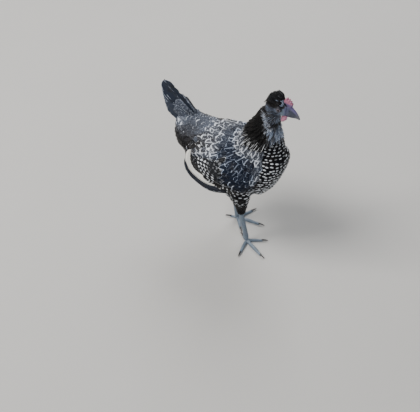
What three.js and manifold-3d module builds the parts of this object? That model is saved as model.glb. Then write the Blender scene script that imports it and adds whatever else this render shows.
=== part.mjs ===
// A crested, mottled pullet of a light breed, standing in mid-stride: a life-size still model.
// Millimetres, +X towards the beak, +Y to the bird's left, +Z up, floor at Z = 0.
// Every body part is an oval loft or a vane, listed from the one that keeps its whole shape to the one
// that is cut back by all before it, so that neighbours meet with a thin gap and never overlap.

import * as THREE from "three";
import { mergeVertices } from "three/addons/utils/BufferGeometryUtils.js";
import Module from "manifold-3d";

const wasm = await Module();
wasm.setup();

// ---------------------------------------------------------------- driving dimensions

const GAP = 0.3; // between neighbouring solids
const SLIVER = 0.02; // detail finer than this is left out of a cut edge
const BACK = 240; // height of the back above the floor
const BELLY = 118; // height of the lowest point of the trunk
const BREAST = 81.5; // foremost point of the breast
const HALF_BODY = 64; // half the width of the trunk without the wings
const EYE_AT = { x: 61, y: 10.2, z: 335 };
const EYE_RADIUS = 5.6;
const BEAK_TIP = { x: 98, z: 322 };
const CREST_TOP = 367;
const TAIL_ROOT = { x: -114, z: 232 };
const TAIL_PAIRS = 5;
const TAIL_LENGTH = 95;
const VANE = 1.2; // thickness of a flight feather's solid
const PRIMARIES = 4; // to each wing
const HOCK_HEIGHT = 82;
const SHANK_RADIUS = 4.6;
const STANCE = {
  right: { x: 20, y: -30, turn: -24 },
  left: { x: -28, y: 16, turn: 8 },
};
const TOES = [
  { name: "middle", turn: 0, length: 50, thick: 4.2 },
  { name: "inner", turn: 56, length: 34, thick: 3.8 },
  { name: "outer", turn: -56, length: 38, thick: 3.8 },
  { name: "hind", turn: 172, length: 17, thick: 3.2 },
];
const PAD_DIP = 0.9; // how much of a toe's underside the floor takes off
const CLAW_LENGTH = 9;
const SIDES = { right: -1, left: 1 };

const finish = (color, roughness) => new THREE.MeshStandardMaterial({ color, roughness, metalness: 0 });
const FINISHES = {
  black: finish(0x14151a, 0.7),
  mottled: finish(0x3a3d45, 0.75),
  grey: finish(0x565b66, 0.75),
  slate: finish(0x2c3a48, 0.55),
  face: finish(0x6b7788, 0.7),
  horn: finish(0x4a4c60, 0.45),
  comb: finish(0xb04a62, 0.6),
  eye: finish(0x8a4a22, 0.15),
  leg: finish(0x6f8aa3, 0.6),
  claw: finish(0x3c3b3f, 0.4),
};

// ---------------------------------------------------------------- solids

const LATERAL = new THREE.Vector3(0, 1, 0);
const FORWARD = new THREE.Vector3(1, 0, 0);
const rounded = (t, share) => (t < share ? Math.sqrt(1 - (1 - t / share) ** 2) : 1);
const toRadians = THREE.MathUtils.degToRad;

function solidOf(geometry) {
  const bare = geometry.clone();
  bare.deleteAttribute("normal");
  bare.deleteAttribute("uv");
  const merged = mergeVertices(bare, 1e-4);
  return new wasm.Manifold(
    new wasm.Mesh({
      numProp: 3,
      vertProperties: new Float32Array(merged.attributes.position.array),
      triVerts: new Uint32Array(merged.index.array),
    }),
  );
}

function geometryOf(solid) {
  const mesh = solid.getMesh();
  const geometry = new THREE.BufferGeometry();
  geometry.setAttribute("position", new THREE.BufferAttribute(mesh.vertProperties, mesh.numProp));
  geometry.setIndex(new THREE.BufferAttribute(mesh.triVerts, 1));
  geometry.computeVertexNormals();
  return geometry;
}

// Oval sections strung on a smooth curve. A station is [x, y, z, across, above, below]: where the
// section's centre is, and its half-sizes. "above" is the side that tangent x across points to.
// Sections are square to the curve, or all square to "facing" where it is given, and the ends are
// rounded over a share of the length.
function loft(stations, { rings, sides, across = LATERAL, facing, ends = [0.15, 0.15], grow = 0 }) {
  const centres = new THREE.CatmullRomCurve3(stations.map(([x, y, z]) => new THREE.Vector3(x, y, z)));
  const sizes = new THREE.CatmullRomCurve3(stations.map((s) => new THREE.Vector3(...s.slice(3))));
  const start = centres.getPoint(0).addScaledVector(centres.getTangent(0), -grow);
  const finishPoint = centres.getPoint(1).addScaledVector(centres.getTangent(1), grow);
  const points = [...start.toArray()];
  for (let ring = 1; ring <= rings; ring++) {
    const t = (1 - Math.cos((Math.PI * ring) / (rings + 1))) / 2;
    const centre = centres.getPoint(t);
    const along = facing ?? centres.getTangent(t);
    const wide = across.clone().addScaledVector(along, -across.dot(along)).normalize();
    const above = new THREE.Vector3().crossVectors(along, wide);
    const size = sizes.getPoint(t);
    const fade = rounded(t, ends[0]) * rounded(1 - t, ends[1]);
    for (let side = 0; side < sides; side++) {
      const angle = (2 * Math.PI * side) / sides;
      const height = Math.sin(angle) > 0 ? size.y : size.z;
      points.push(
        ...centre
          .clone()
          .addScaledVector(wide, Math.cos(angle) * (size.x * fade + grow))
          .addScaledVector(above, Math.sin(angle) * (height * fade + grow))
          .toArray(),
      );
    }
  }
  points.push(...finishPoint.toArray());
  const at = (ring, side) => 1 + ring * sides + (side % sides);
  const last = 1 + rings * sides;
  const faces = [];
  for (let side = 0; side < sides; side++) {
    faces.push(0, at(0, side + 1), at(0, side));
    for (let ring = 0; ring < rings - 1; ring++) {
      faces.push(at(ring, side), at(ring, side + 1), at(ring + 1, side));
      faces.push(at(ring, side + 1), at(ring + 1, side + 1), at(ring + 1, side));
    }
    faces.push(last, at(rings - 1, side), at(rings - 1, side + 1));
  }
  const geometry = new THREE.BufferGeometry();
  geometry.setAttribute("position", new THREE.Float32BufferAttribute(points, 3));
  geometry.setIndex(faces);
  return solidOf(geometry);
}

// A flight feather: a thin vane that widens from its quill and is rounded at the tip.
// It runs from root along heading, bends by curl towards its upper face, and is flat along across.
function vane({ root, heading, across, length, width, curl, grow }) {
  const face = new THREE.Vector3().crossVectors(heading, across).normalize();
  const share = [0.3, 0.75, 1, 0.9];
  const stations = share.map((wide, i) => {
    const t = i / (share.length - 1);
    const at = root
      .clone()
      .addScaledVector(heading, length * t)
      .addScaledVector(face, curl * t * t);
    return [...at.toArray(), (width / 2) * wide, VANE / 2, VANE / 2];
  });
  return loft(stations, { rings: 4, sides: 6, across, ends: [0.05, 0.3], grow });
}

const joined = (solids) => wasm.Manifold.union(solids);

// ---------------------------------------------------------------- head

function eyeball(side) {
  return (grow) => {
    const ball = new THREE.SphereGeometry(EYE_RADIUS + grow, 11, 7);
    ball.translate(EYE_AT.x, side * EYE_AT.y, EYE_AT.z);
    return solidOf(ball);
  };
}

const upperBeak = (grow) =>
  loft(
    [
      [73, 0, 334.5, 6.6, 8.4, 7.6],
      [82, 0, 333, 6, 7.8, 6.9],
      [89, 0, 329.6, 4.2, 5.6, 5.2],
      [94.5, 0, 326, 2.4, 3.2, 3],
      [BEAK_TIP.x, 0, BEAK_TIP.z, 0.9, 1.2, 1],
    ],
    { rings: 7, sides: 12, facing: FORWARD, ends: [0.06, 0.1], grow },
  );

const lowerBeak = (grow) =>
  loft(
    [
      [69, 0, 323, 5.8, 3.4, 3.8],
      [77, 0, 323, 5.2, 3.4, 3.4],
      [85, 0, 322.8, 3.6, 2.8, 2.4],
      [92, 0, 322.4, 1.4, 1.6, 1],
    ],
    { rings: 5, sides: 10, facing: FORWARD, ends: [0.06, 0.12], grow },
  );

// A low single comb: a fleshy blade from the crest down to the nostrils, whose points lean back.
const COMB = {
  rises: [8, 9.2, 8.4, 6],
  pitch: 4.3,
  valley: 4,
  depth: 6,
  thick: 2.6,
  back: { x: 67, z: 352 },
  slope: 33,
};
function comb(grow) {
  const { rises, pitch, valley, depth } = COMB;
  const outline = new THREE.Shape();
  outline.moveTo(0, -depth);
  outline.lineTo(-0.5, valley);
  rises.forEach((rise, i) => {
    outline.quadraticCurveTo(pitch * (i - 0.1), rise * 0.8, pitch * (i + 0.2), rise);
    outline.quadraticCurveTo(pitch * (i + 0.75), rise * 0.8, pitch * (i + 1), valley);
  });
  outline.lineTo(pitch * rises.length, -depth);
  const bevel = 0.7;
  const blade = new THREE.ExtrudeGeometry(outline, {
    depth: COMB.thick - 2 * bevel,
    curveSegments: 3,
    bevelThickness: bevel,
    bevelSize: bevel,
    bevelOffset: -bevel + grow,
    bevelSegments: 1,
  });
  blade.translate(0, 0, bevel - COMB.thick / 2);
  blade.scale(1, 1, 1 + (2 * grow) / COMB.thick);
  blade.rotateX(Math.PI / 2);
  blade.rotateY(toRadians(COMB.slope));
  blade.translate(COMB.back.x, 0, COMB.back.z);
  return solidOf(blade);
}

const wattle = (side) => (grow) =>
  loft(
    [
      [65.2, side * 6.6, 309.5, 1.3, 2.4, 2.4],
      [69.2, side * 6.6, 312.5, 1.7, 3.6, 4],
      [73.7, side * 6, 316.5, 1.7, 3.6, 4],
      [78.2, side * 5, 320.3, 1.3, 1.8, 2],
    ],
    { rings: 6, sides: 10, facing: FORWARD, grow },
  );

const skull = (grow) =>
  loft(
    [
      [28, 0, 328, 9, 12, 12],
      [42, 0, 334, 14.2, 15, 19],
      [56, 0, 336, 14.8, 14.5, 20],
      [68, 0, 334, 12, 13.5, 17.5],
      [80, 0, 331, 6.8, 9.5, 11],
    ],
    { rings: 9, sides: 14, facing: FORWARD, ends: [0.2, 0.12], grow },
  );

// The crest rises behind the comb and sweeps back over the nape.
const crest = (grow) =>
  loft(
    [
      [23, 0, 327, 5, 4, 9],
      [33, 0, 335, 10, 6, 13],
      [46, 0, 344, 13.5, CREST_TOP - 351, 13],
      [60, 0, 350, 14.5, CREST_TOP - 351, 14],
      [71, 0, 350, 10, 11, 10],
    ],
    { rings: 8, sides: 12, ends: [0.25, 0.22], grow },
  );

// ---------------------------------------------------------------- neck and trunk

// From the base of the hackle up to the throat: "above" is the nape, "below" the throat.
const neck = (grow) =>
  loft(
    [
      [20, 0, 196, 28, 32, 32],
      [25, 0, 226, 40, 46, 50],
      [32, 0, 256, 32, 41, 40],
      [38, 0, 284, 24, 30, 26],
      [44, 0, 308, 19, 25, 18],
      [48, 0, 330, 15, 20, 14],
    ],
    { rings: 10, sides: 16, ends: [0.2, 0.15], grow },
  );

const trunk = (grow) =>
  loft(
    [
      [-154, 0, 227, 19, 12, 26],
      [-141, 0, 214, 33, 20, 38],
      [-124, 0, 205, 42, 26, 50],
      [-102, 0, 197, 49, 34, 58],
      [-62, 0, 187, 57, 47, 64],
      [-14, 0, 182, HALF_BODY, BACK - 182, 182 - BELLY],
      [24, 0, 183, HALF_BODY - 4, 58, 181 - BELLY],
      [50, 0, 190, 50, 51, 60],
      [64, 0, 198, 41, 41, 43],
      [74, 0, 209, 28, 28, 26],
      [BREAST, 0, 217, 11, 11, 10],
    ],
    { rings: 12, sides: 18, facing: FORWARD, ends: [0.08, 0.05], grow },
  );

// ---------------------------------------------------------------- tail

// Saddle and covert feathers that wrap the root of the tail.
const rump = (grow) =>
  loft(
    [
      [-157, 0, 254, 9, 8, 22],
      [-138, 0, 236, 21, 17, 40],
      [-106, 0, 214, 31, 22, 46],
      [-66, 0, 196, 37, 32, 40],
    ],
    { rings: 8, sides: 16, facing: FORWARD, ends: [0.15, 0.2], grow },
  );

// Steering feathers in pairs, from the roof-like top pair to the upright lowest pair.
function tail(grow) {
  const feathers = [];
  for (const side of Object.values(SIDES)) {
    for (let pair = 0; pair < TAIL_PAIRS; pair++) {
      const rank = pair / (TAIL_PAIRS - 1);
      const rise = toRadians(42 - 7 * rank);
      const spread = toRadians(2 + 10 * rank);
      const roll = toRadians(48 + 34 * rank);
      const heading = new THREE.Vector3(
        -Math.cos(rise) * Math.cos(spread),
        side * Math.cos(rise) * Math.sin(spread),
        Math.sin(rise),
      );
      const flat = new THREE.Vector3(0, Math.cos(roll), -side * Math.sin(roll));
      const across = flat.addScaledVector(heading, -flat.dot(heading)).normalize();
      feathers.push(
        vane({
          root: new THREE.Vector3(TAIL_ROOT.x, side * (3 + 6 * rank), TAIL_ROOT.z - 16 * rank),
          heading,
          across,
          length: TAIL_LENGTH - 24 * rank,
          width: 24,
          curl: 4,
          grow,
        }),
      );
    }
  }
  return joined(feathers);
}

// ---------------------------------------------------------------- wings

// A folded wing from its tip, by the rump, forward to the shoulder.
const wing = (side) => (grow) =>
  loft(
    [
      [-114, side * 42, 194, 6, 14, 14],
      [-84, side * 50, 183, 13, 30, 30],
      [-40, side * 54, 176, 18, 40, 38],
      [4, side * 53, 178, 19, 38, 36],
      [40, side * 42, 188, 16, 26, 28],
    ],
    { rings: 11, sides: 14, ends: [0.12, 0.22], grow },
  );

// Flight feathers that show below the wing: curved vanes that rise to the rump, each shorter and
// tucked further in than the one above it.
const primaries = (side) => (grow) => {
  const feathers = [];
  for (let i = 0; i < PRIMARIES; i++) {
    const rank = i / (PRIMARIES - 1);
    const inward = side * (60 - 5.4 * rank);
    const drop = 5 * rank;
    const forward = 6 * rank;
    feathers.push(
      loft(
        [
          [-6 + forward, inward, 143 - drop, 8, VANE, VANE],
          [-44 + forward, inward, 140 - drop, 11, VANE, VANE],
          [-80 + forward, inward - side * 4, 148 - drop, 11, VANE, VANE],
          [-106 + forward, inward - side * 10, 172 - drop, 8, VANE, VANE],
        ],
        { rings: 6, sides: 6, across: new THREE.Vector3(0, side * 0.35, 0.94), ends: [0.1, 0.2], grow },
      ),
    );
  }
  return joined(feathers);
};

// ---------------------------------------------------------------- legs

const footOf = (side) => STANCE[side > 0 ? "left" : "right"];
const hockOf = (side) => {
  const { x, y } = footOf(side);
  return new THREE.Vector3(x - 14, y + 2 * side, HOCK_HEIGHT);
};

const thigh = (side) => (grow) => {
  const hock = hockOf(side);
  const hip = new THREE.Vector3(-6, side * 34, 162);
  const part = (t) => hip.clone().lerp(hock, t);
  const knee = part(0.45);
  return loft(
    [
      [hock.x, hock.y, hock.z - 12, 5.2, 6, 6],
      [hock.x + 1, hock.y, hock.z + 8, 9, 11, 10],
      [knee.x + 4, knee.y + 2 * side, knee.z, 20, 25, 24],
      [hip.x, hip.y, hip.z, 26, 34, 30],
    ],
    { rings: 7, sides: 12, ends: [0.12, 0.1], grow },
  );
};

const shank = (side) => (grow) => {
  const { x, y } = footOf(side);
  const hock = hockOf(side);
  const r = SHANK_RADIUS;
  return loft(
    [
      [x - 1, y, 5, r * 1.1, r * 1.2, r * 1.3],
      [x - 2, y, 16, r, r * 1.15, r * 1.15],
      [x - 8, y + (hock.y - y) * 0.5, 46, r * 0.84, r * 1.05, r],
      [hock.x, hock.y, hock.z - 8, r * 1.1, r * 1.2, r * 1.2],
      [hock.x, hock.y, hock.z + 6, r * 1.1, r * 1.2, r * 1.2],
    ],
    { rings: 6, sides: 9, ends: [0.08, 0.1], grow },
  );
};

// Where a toe runs: its direction on the floor and its points at the root, mid-length and tip.
function toePath(side, toe) {
  const { x, y, turn } = footOf(side);
  const angle = toRadians(turn - side * toe.turn);
  const along = new THREE.Vector3(Math.cos(angle), Math.sin(angle), 0);
  const at = (distance, z) => new THREE.Vector3(x, y, z).addScaledVector(along, distance);
  const across = new THREE.Vector3(-along.y, along.x, 0);
  return { along, across, at };
}

// The underside of each toe dips a little below the floor and is cut flat on it.
const toes = (side) => (grow) => {
  const solids = TOES.map((toe) => {
    const { across, at } = toePath(side, toe);
    const r = toe.thick;
    const joints = toe.name === "hind" ? [0, 0.5, 1] : [0, 0.3, 0.52, 0.76, 1];
    const stations = joints.map((t, i) => {
      const pad = i % 2 ? 0.9 : 1;
      const size = r * pad * (1 - 0.28 * t);
      return [...at(toe.length * t, size - PAD_DIP).toArray(), size, size * 0.95, size];
    });
    return loft(stations, { rings: 5, sides: 7, across, ends: [0.1, 0.12], grow });
  });
  return joined(solids).trimByPlane([0, 0, 1], 0);
};

const claw = (side, toe) => (grow) => {
  const { across, at } = toePath(side, toe);
  const base = toe.length - 3;
  const rise = toe.thick * 0.78;
  return loft(
    [
      [...at(base, rise).toArray(), 2.1, 2.1, 2],
      [...at(base + CLAW_LENGTH * 0.5, rise + 0.6).toArray(), 1.7, 1.8, 1.6],
      [...at(base + CLAW_LENGTH, rise - 0.6).toArray(), 0.9, 1, 0.8],
      [...at(base + CLAW_LENGTH + 3, rise - 2).toArray(), 0.35, 0.4, 0.35],
    ],
    { rings: 4, sides: 6, across, ends: [0.1, 0.1], grow },
  );
};

// ---------------------------------------------------------------- assembly

// [name, form, finish], from the piece that keeps its shape to the one that gives way to all before it.
const eachSide = (name, form, look) =>
  Object.entries(SIDES).map(([word, side]) => [`${name}_${word}`, form(side), look]);

const pieces = [
  ...eachSide("eye", eyeball, FINISHES.eye),
  ["beak_upper", upperBeak, FINISHES.horn],
  ["beak_lower", lowerBeak, FINISHES.horn],
  ["head", skull, FINISHES.face],
  ["comb", comb, FINISHES.comb],
  ...eachSide("wattle", wattle, FINISHES.comb),
  ["crest", crest, FINISHES.black],
  ["neck", neck, FINISHES.black],
  ...eachSide("wing", wing, FINISHES.mottled),
  ["rump", rump, FINISHES.grey],
  ["trunk", trunk, FINISHES.mottled],
  ["tail", tail, FINISHES.slate],
  ...eachSide("primaries", primaries, FINISHES.grey),
  ...eachSide("thigh", thigh, FINISHES.black),
  ...TOES.flatMap((toe) => eachSide(`claw_${toe.name}`, (side) => claw(side, toe), FINISHES.claw)),
  ...eachSide("toes", toes, FINISHES.leg),
  ...eachSide("shank", shank, FINISHES.leg),
];

const boxesMeet = (a, b) =>
  [0, 1, 2].every((axis) => a.min[axis] <= b.max[axis] && b.min[axis] <= a.max[axis]);

const hen = new THREE.Group();
const placed = [];
for (const [name, form, look] of pieces) {
  let solid = form(0);
  for (const { grown } of placed) {
    if (boxesMeet(grown.boundingBox(), solid.boundingBox())) {
      solid = solid.subtract(grown);
    }
  }
  const bodies = solid.decompose();
  solid = bodies.reduce((largest, body) => (body.volume() > largest.volume() ? body : largest));
  placed.push({ grown: form(GAP) });
  const mesh = new THREE.Mesh(geometryOf(solid.simplify(SLIVER)), look);
  mesh.name = name;
  hen.add(mesh);
}

// The origin is under the middle of the bird's box, on the floor.
const box = new THREE.Box3().setFromObject(hen);
const middle = box.getCenter(new THREE.Vector3());
hen.position.set(-middle.x, -middle.y, -box.min.z);

export default hen;
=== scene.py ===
import heapq
import math
import random

import bmesh
import bpy
import numpy as np
from mathutils import Euler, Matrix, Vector, noise
from mathutils.bvhtree import BVHTree
from mathutils.kdtree import KDTree


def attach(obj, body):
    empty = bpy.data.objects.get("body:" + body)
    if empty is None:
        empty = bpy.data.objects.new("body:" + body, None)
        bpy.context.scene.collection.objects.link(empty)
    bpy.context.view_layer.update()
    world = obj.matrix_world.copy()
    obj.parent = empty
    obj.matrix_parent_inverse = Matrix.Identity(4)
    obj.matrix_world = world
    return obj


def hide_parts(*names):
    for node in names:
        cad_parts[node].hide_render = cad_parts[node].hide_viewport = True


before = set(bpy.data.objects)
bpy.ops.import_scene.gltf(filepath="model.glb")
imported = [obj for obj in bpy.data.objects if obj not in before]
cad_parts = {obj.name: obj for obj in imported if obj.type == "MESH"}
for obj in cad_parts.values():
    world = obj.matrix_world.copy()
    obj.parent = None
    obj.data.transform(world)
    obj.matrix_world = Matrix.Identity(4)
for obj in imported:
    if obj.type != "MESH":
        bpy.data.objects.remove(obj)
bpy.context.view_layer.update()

# ---- The room the bird stands in
# A plain pale floor that sweeps up behind the bird, a large soft key lamp from the upper left, a wide
# fill and a rim lamp, and a camera that looks down on the bird's right side from in front.

CAMERA_PLACE = (0.6346, -1.0698, 1.2706)
CAMERA_AIM = (45.296, 0.0, 32.200)
LENS, SENSOR = 75.0, 36.0
FLOOR_COLOUR = (0.57, 0.565, 0.55)
FLOOR_SIDE, FLOOR_FRONT, FLOOR_BACK = 8.0, -6.0, 1.6
BEND_RADIUS, WALL_TOP = 1.2, 6.0
LAMP_AIM = Vector((0.0, 0.0, 0.18))
LAMPS = {
    "key_lamp": ((-1.6, -1.2, 2.6), 1.5, 112.0, (1.0, 0.97, 0.93)),
    "fill_lamp": ((2.4, -1.6, 1.6), 2.2, 22.0, (0.93, 0.96, 1.0)),
    "rim_lamp": ((-0.6, 2.0, 2.2), 1.4, 48.0, (1.0, 1.0, 1.0)),
}
SKY_COLOUR, SKY_STRENGTH = (0.9, 0.93, 1.0, 1.0), 0.2


def smooth_faces(mesh):
    mesh.polygons.foreach_set("use_smooth", [True] * len(mesh.polygons))


def new_mesh(name, points, faces):
    mesh = bpy.data.meshes.new(name)
    mesh.from_pydata([tuple(p) for p in points], [], [tuple(f) for f in faces])
    smooth_faces(mesh)
    mesh.update()
    piece = bpy.data.objects.new(name, mesh)
    bpy.context.scene.collection.objects.link(piece)
    return piece


class Shade:
    """Short words for building the node tree of a material or of a geometry."""

    def __init__(self, tree):
        self.tree = tree

    def node(self, kind, inputs=None, **settings):
        made = self.tree.nodes.new(kind)
        for key, value in settings.items():
            setattr(made, key, value)
        for key, value in (inputs or {}).items():
            self.feed(made.inputs[key], value)
        return made

    def feed(self, socket, value):
        if isinstance(value, bpy.types.NodeSocket):
            self.tree.links.new(value, socket)
        elif isinstance(value, bpy.types.Node):
            self.tree.links.new(value.outputs[0], socket)
        else:
            socket.default_value = value

    def math(self, operation, a, b=0.0, c=0.0):
        return self.node("ShaderNodeMath", {0: a, 1: b, 2: c}, operation=operation).outputs[0]

    def times(self, *values):
        product = values[0]
        for value in values[1:]:
            product = self.math("MULTIPLY", product, value)
        return product

    def vector(self, operation, a, b=(0, 0, 0), scale=None):
        made = self.node("ShaderNodeVectorMath", {0: a, 1: b}, operation=operation)
        if scale is not None:
            self.feed(made.inputs["Scale"], scale)
        return made.outputs["Vector"]

    def parts(self, vector):
        return self.node("ShaderNodeSeparateXYZ", {0: vector}).outputs

    def step(self, value, low, high):
        """Rises smoothly from 0 to 1 as the value goes from low to high."""
        inputs = {"Value": value, "From Min": low, "From Max": high}
        return self.node("ShaderNodeMapRange", inputs, interpolation_type="SMOOTHSTEP").outputs[0]

    def fall(self, value, low, high):
        """Falls smoothly from 1 to 0 as the value goes from low to high."""
        return self.math("SUBTRACT", 1.0, self.step(value, low, high))

    def mix(self, factor, a, b, blend="MIX"):
        made = self.node("ShaderNodeMix", data_type="RGBA", blend_type=blend)
        for slot, value in ((0, factor), (6, a), (7, b)):
            self.feed(made.inputs[slot], (*value, 1.0) if isinstance(value, tuple) else value)
        return made.outputs[2]

    def tinge(self, tone, colour, *shares):
        """A tone, moved towards a colour by the product of its shares."""
        return self.mix(self.times(*shares), tone, colour)

    def place(self):
        return self.node("ShaderNodeTexCoord").outputs["Object"]

    def held(self, name):
        """A value kept on the mesh, by its name."""
        return self.node("ShaderNodeAttribute", attribute_name=name, attribute_type="GEOMETRY").outputs

    def noise(self, place, scale, detail=3.0, roughness=0.5):
        values = {"Vector": place, "Scale": scale, "Detail": detail, "Roughness": roughness}
        return self.node("ShaderNodeTexNoise", values).outputs["Fac"]

    def cells(self, place, scale):
        return self.node("ShaderNodeTexVoronoi", {"Vector": place, "Scale": scale}).outputs["Distance"]

    def finish(self, colour, roughness, height=None, depth=None, **gloss):
        shader = self.node("ShaderNodeBsdfPrincipled", {"Roughness": roughness})
        self.feed(shader.inputs["Base Color"], colour)
        for key, value in gloss.items():
            shader.inputs[key.replace("_", " ")].default_value = value
        if height is not None:
            bump = self.node("ShaderNodeBump", {"Height": height, "Distance": depth, "Strength": 1.0})
            self.feed(shader.inputs["Normal"], bump)
        self.node("ShaderNodeOutputMaterial", {"Surface": shader})


def new_paint(name):
    """An empty material, and the words that fill its node tree."""
    material = bpy.data.materials.new(name)
    material.use_nodes = True
    material.node_tree.nodes.clear()
    return material, Shade(material.node_tree)


camera = bpy.data.objects.new("camera", bpy.data.cameras.new("camera"))
camera.location = CAMERA_PLACE
camera.rotation_euler = Euler([math.radians(a) for a in CAMERA_AIM])
camera.data.lens = LENS
camera.data.sensor_width = SENSOR
camera.data.clip_start = 0.05
bpy.context.scene.collection.objects.link(camera)
bpy.context.scene.camera = camera

profile = [(FLOOR_FRONT, 0.0), (FLOOR_BACK, 0.0)]
for a in np.linspace(0.1, math.pi / 2, 14):
    profile.append((FLOOR_BACK + BEND_RADIUS * math.sin(a), BEND_RADIUS - BEND_RADIUS * math.cos(a)))
profile.append((FLOOR_BACK + BEND_RADIUS, WALL_TOP))
points = [(x, y, z) for y, z in profile for x in (-FLOOR_SIDE, FLOOR_SIDE)]
faces = [(2 * i, 2 * i + 1, 2 * i + 3, 2 * i + 2) for i in range(len(profile) - 1)]
floor = new_mesh("floor", points, faces)
paint, shade = new_paint("floor_paint")
grain = shade.noise(shade.place(), 6.0)
shade.finish(shade.mix(grain, FLOOR_COLOUR, tuple(0.96 * c for c in FLOOR_COLOUR)), 0.85)
floor.data.materials.append(paint)

for name, (place, size, power, colour) in LAMPS.items():
    lamp = bpy.data.objects.new(name, bpy.data.lights.new(name, "AREA"))
    lamp.data.size = size
    lamp.data.energy = power
    lamp.data.color = colour
    lamp.location = place
    lamp.rotation_euler = (LAMP_AIM - Vector(place)).to_track_quat("-Z", "Y").to_euler()
    bpy.context.scene.collection.objects.link(lamp)

world = bpy.data.worlds.new("room")
world.use_nodes = True
sky = world.node_tree.nodes["Background"].inputs
sky["Color"].default_value = SKY_COLOUR
sky["Strength"].default_value = SKY_STRENGTH
bpy.context.scene.world = world

# ---- Skin
# One hide over head, neck, body, wing and thigh, grey-blue and bare round the eye, dark under the
# feathers. It is formed over the flesh, drawn in by the depth of the coat, and folded round the eyes.

MM = 0.001
MIDDLE = 1.565 * MM
SIDES = {"right": -1, "left": 1}
FLESH = ["trunk", "neck", "head", "crest", "rump"]
FLESH += [f"{part}_{side}" for part in ("wing", "thigh") for side in SIDES]
COAT_DEPTH = {"trunk": 4.5, "neck": 4.0, "head": 0.9, "crest": 6.0, "rump": 4.5, "wing": 3.5, "thigh": 3.0}
PART = {part: column for column, part in enumerate(sorted(COAT_DEPTH))}
SKIN_GRAIN = 0.002
PART_BLEND = 0.012
HOCK_HEIGHT, HOCK_FADE = 0.078, 0.03


def ramp(value, low, high):
    """Rises smoothly from 0 to 1 as the value goes from low to high."""
    part = np.clip((value - low) / (high - low), 0.0, 1.0)
    return part * part * (3.0 - 2.0 * part)


def unit(vectors):
    return vectors / np.maximum(np.linalg.norm(vectors, axis=-1, keepdims=True), 1e-9)


def gathered(nodes, swell, droop=(0.0, 0.0, 0.0)):
    """The merged meshes of some nodes, swollen, with each face's node. A droop moves their lower half."""
    points, faces, owners = [], [], []
    for node in nodes:
        form = bmesh.new()
        form.from_mesh(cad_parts[node].data)
        bmesh.ops.remove_doubles(form, verts=form.verts, dist=1e-6)
        form.normal_update()
        for vert in form.verts:
            vert.co += vert.normal * swell
        middle = sum((v.co for v in form.verts), Vector()) / len(form.verts)
        for vert in form.verts:
            if (vert.co - middle).dot(Vector(droop)) > 0.0:
                vert.co += Vector(droop)
        start = len(points)
        points += [v.co.copy() for v in form.verts]
        faces += [[start + v.index for v in f.verts] for f in form.faces]
        owners += [node] * len(form.faces)
        form.free()
    return points, faces, owners


def apply_modifiers(piece):
    """Turns a piece with modifiers into a plain mesh."""
    bpy.context.view_layer.update()
    evaluated = piece.evaluated_get(bpy.context.evaluated_depsgraph_get())
    mesh = bpy.data.meshes.new_from_object(evaluated)
    old = piece.data
    piece.modifiers.clear()
    piece.data = mesh
    bpy.data.meshes.remove(old)


def melt(piece, grain):
    """Joins the overlapping bodies of a piece into one skin, made of voxels."""
    remesh = piece.modifiers.new("remesh", "REMESH")
    remesh.mode = "VOXEL"
    remesh.voxel_size = grain
    apply_modifiers(piece)


def points_of(mesh, what="co", kind="vertices"):
    values = np.zeros(len(getattr(mesh, kind)) * 3)
    getattr(mesh, kind).foreach_get(what, values)
    return values.reshape(-1, 3)


def normals_of(mesh):
    return points_of(mesh, "vector", "vertex_normals")


def move_points(mesh, co):
    mesh.vertices.foreach_set("co", co.ravel())
    mesh.update()


def neighbours_of(mesh):
    pairs = np.zeros(len(mesh.edges) * 2, dtype=int)
    mesh.edges.foreach_get("vertices", pairs)
    return pairs.reshape(-1, 2)


def spread(values, pairs, rounds):
    """Averages a value over the surface with its neighbours, round after round."""
    values = np.array(values, dtype=float)
    flat = values.reshape(len(values), -1)
    count = np.bincount(pairs.ravel(), minlength=len(flat))[:, None] + 1.0
    for _ in range(rounds):
        total = flat.copy()
        for column in range(flat.shape[1]):
            for here, there in ((0, 1), (1, 0)):
                total[:, column] += np.bincount(pairs[:, here], flat[pairs[:, there], column], len(flat))
        flat = total / count
    return flat.reshape(values.shape)


flesh_points, flesh_faces, flesh_owners = gathered(FLESH, 0.5 * MM)
flesh_tree = BVHTree.FromPolygons(flesh_points, flesh_faces)


def part_weights(places):
    """How much each place on the body belongs to each part of it, by its nearest flesh."""
    weights = np.zeros((len(places), len(PART)))
    for i, place in enumerate(places):
        owner = flesh_owners[flesh_tree.find_nearest(Vector(place))[2]]
        weights[i, PART[owner.split("_")[0]]] = 1.0
    return weights


def hide(name, grain, smoothing):
    """The union of the flesh, smoothed and drawn in by the coat's depth, with its parts' weights."""
    piece = new_mesh(name, flesh_points, flesh_faces)
    melt(piece, grain)
    mesh = piece.data
    pairs = neighbours_of(mesh)
    co = spread(points_of(mesh), pairs, smoothing)
    weights = spread(part_weights(co), pairs, int(PART_BLEND / grain))
    depth = weights @ np.array([COAT_DEPTH[part] for part in PART]) * MM
    low = np.clip((co[:, 2] - HOCK_HEIGHT) / HOCK_FADE, 0.0, 1.0)
    depth *= 1.0 - weights[:, PART["thigh"]] * (1.0 - low)
    move_points(mesh, co)
    inward = spread(normals_of(mesh), pairs, 6)
    inward /= np.linalg.norm(inward, axis=1)[:, None]
    move_points(mesh, co - inward * depth[:, None])
    return piece, weights


skin, _ = hide("skin", SKIN_GRAIN, 12)

# ---- Eyes
# Round, wet and forward-looking, with a dull grey-brown iris round a black pupil. Each is a glossy ball
# with a bulged cornea, sunk in the skull and held by the lids.

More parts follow.
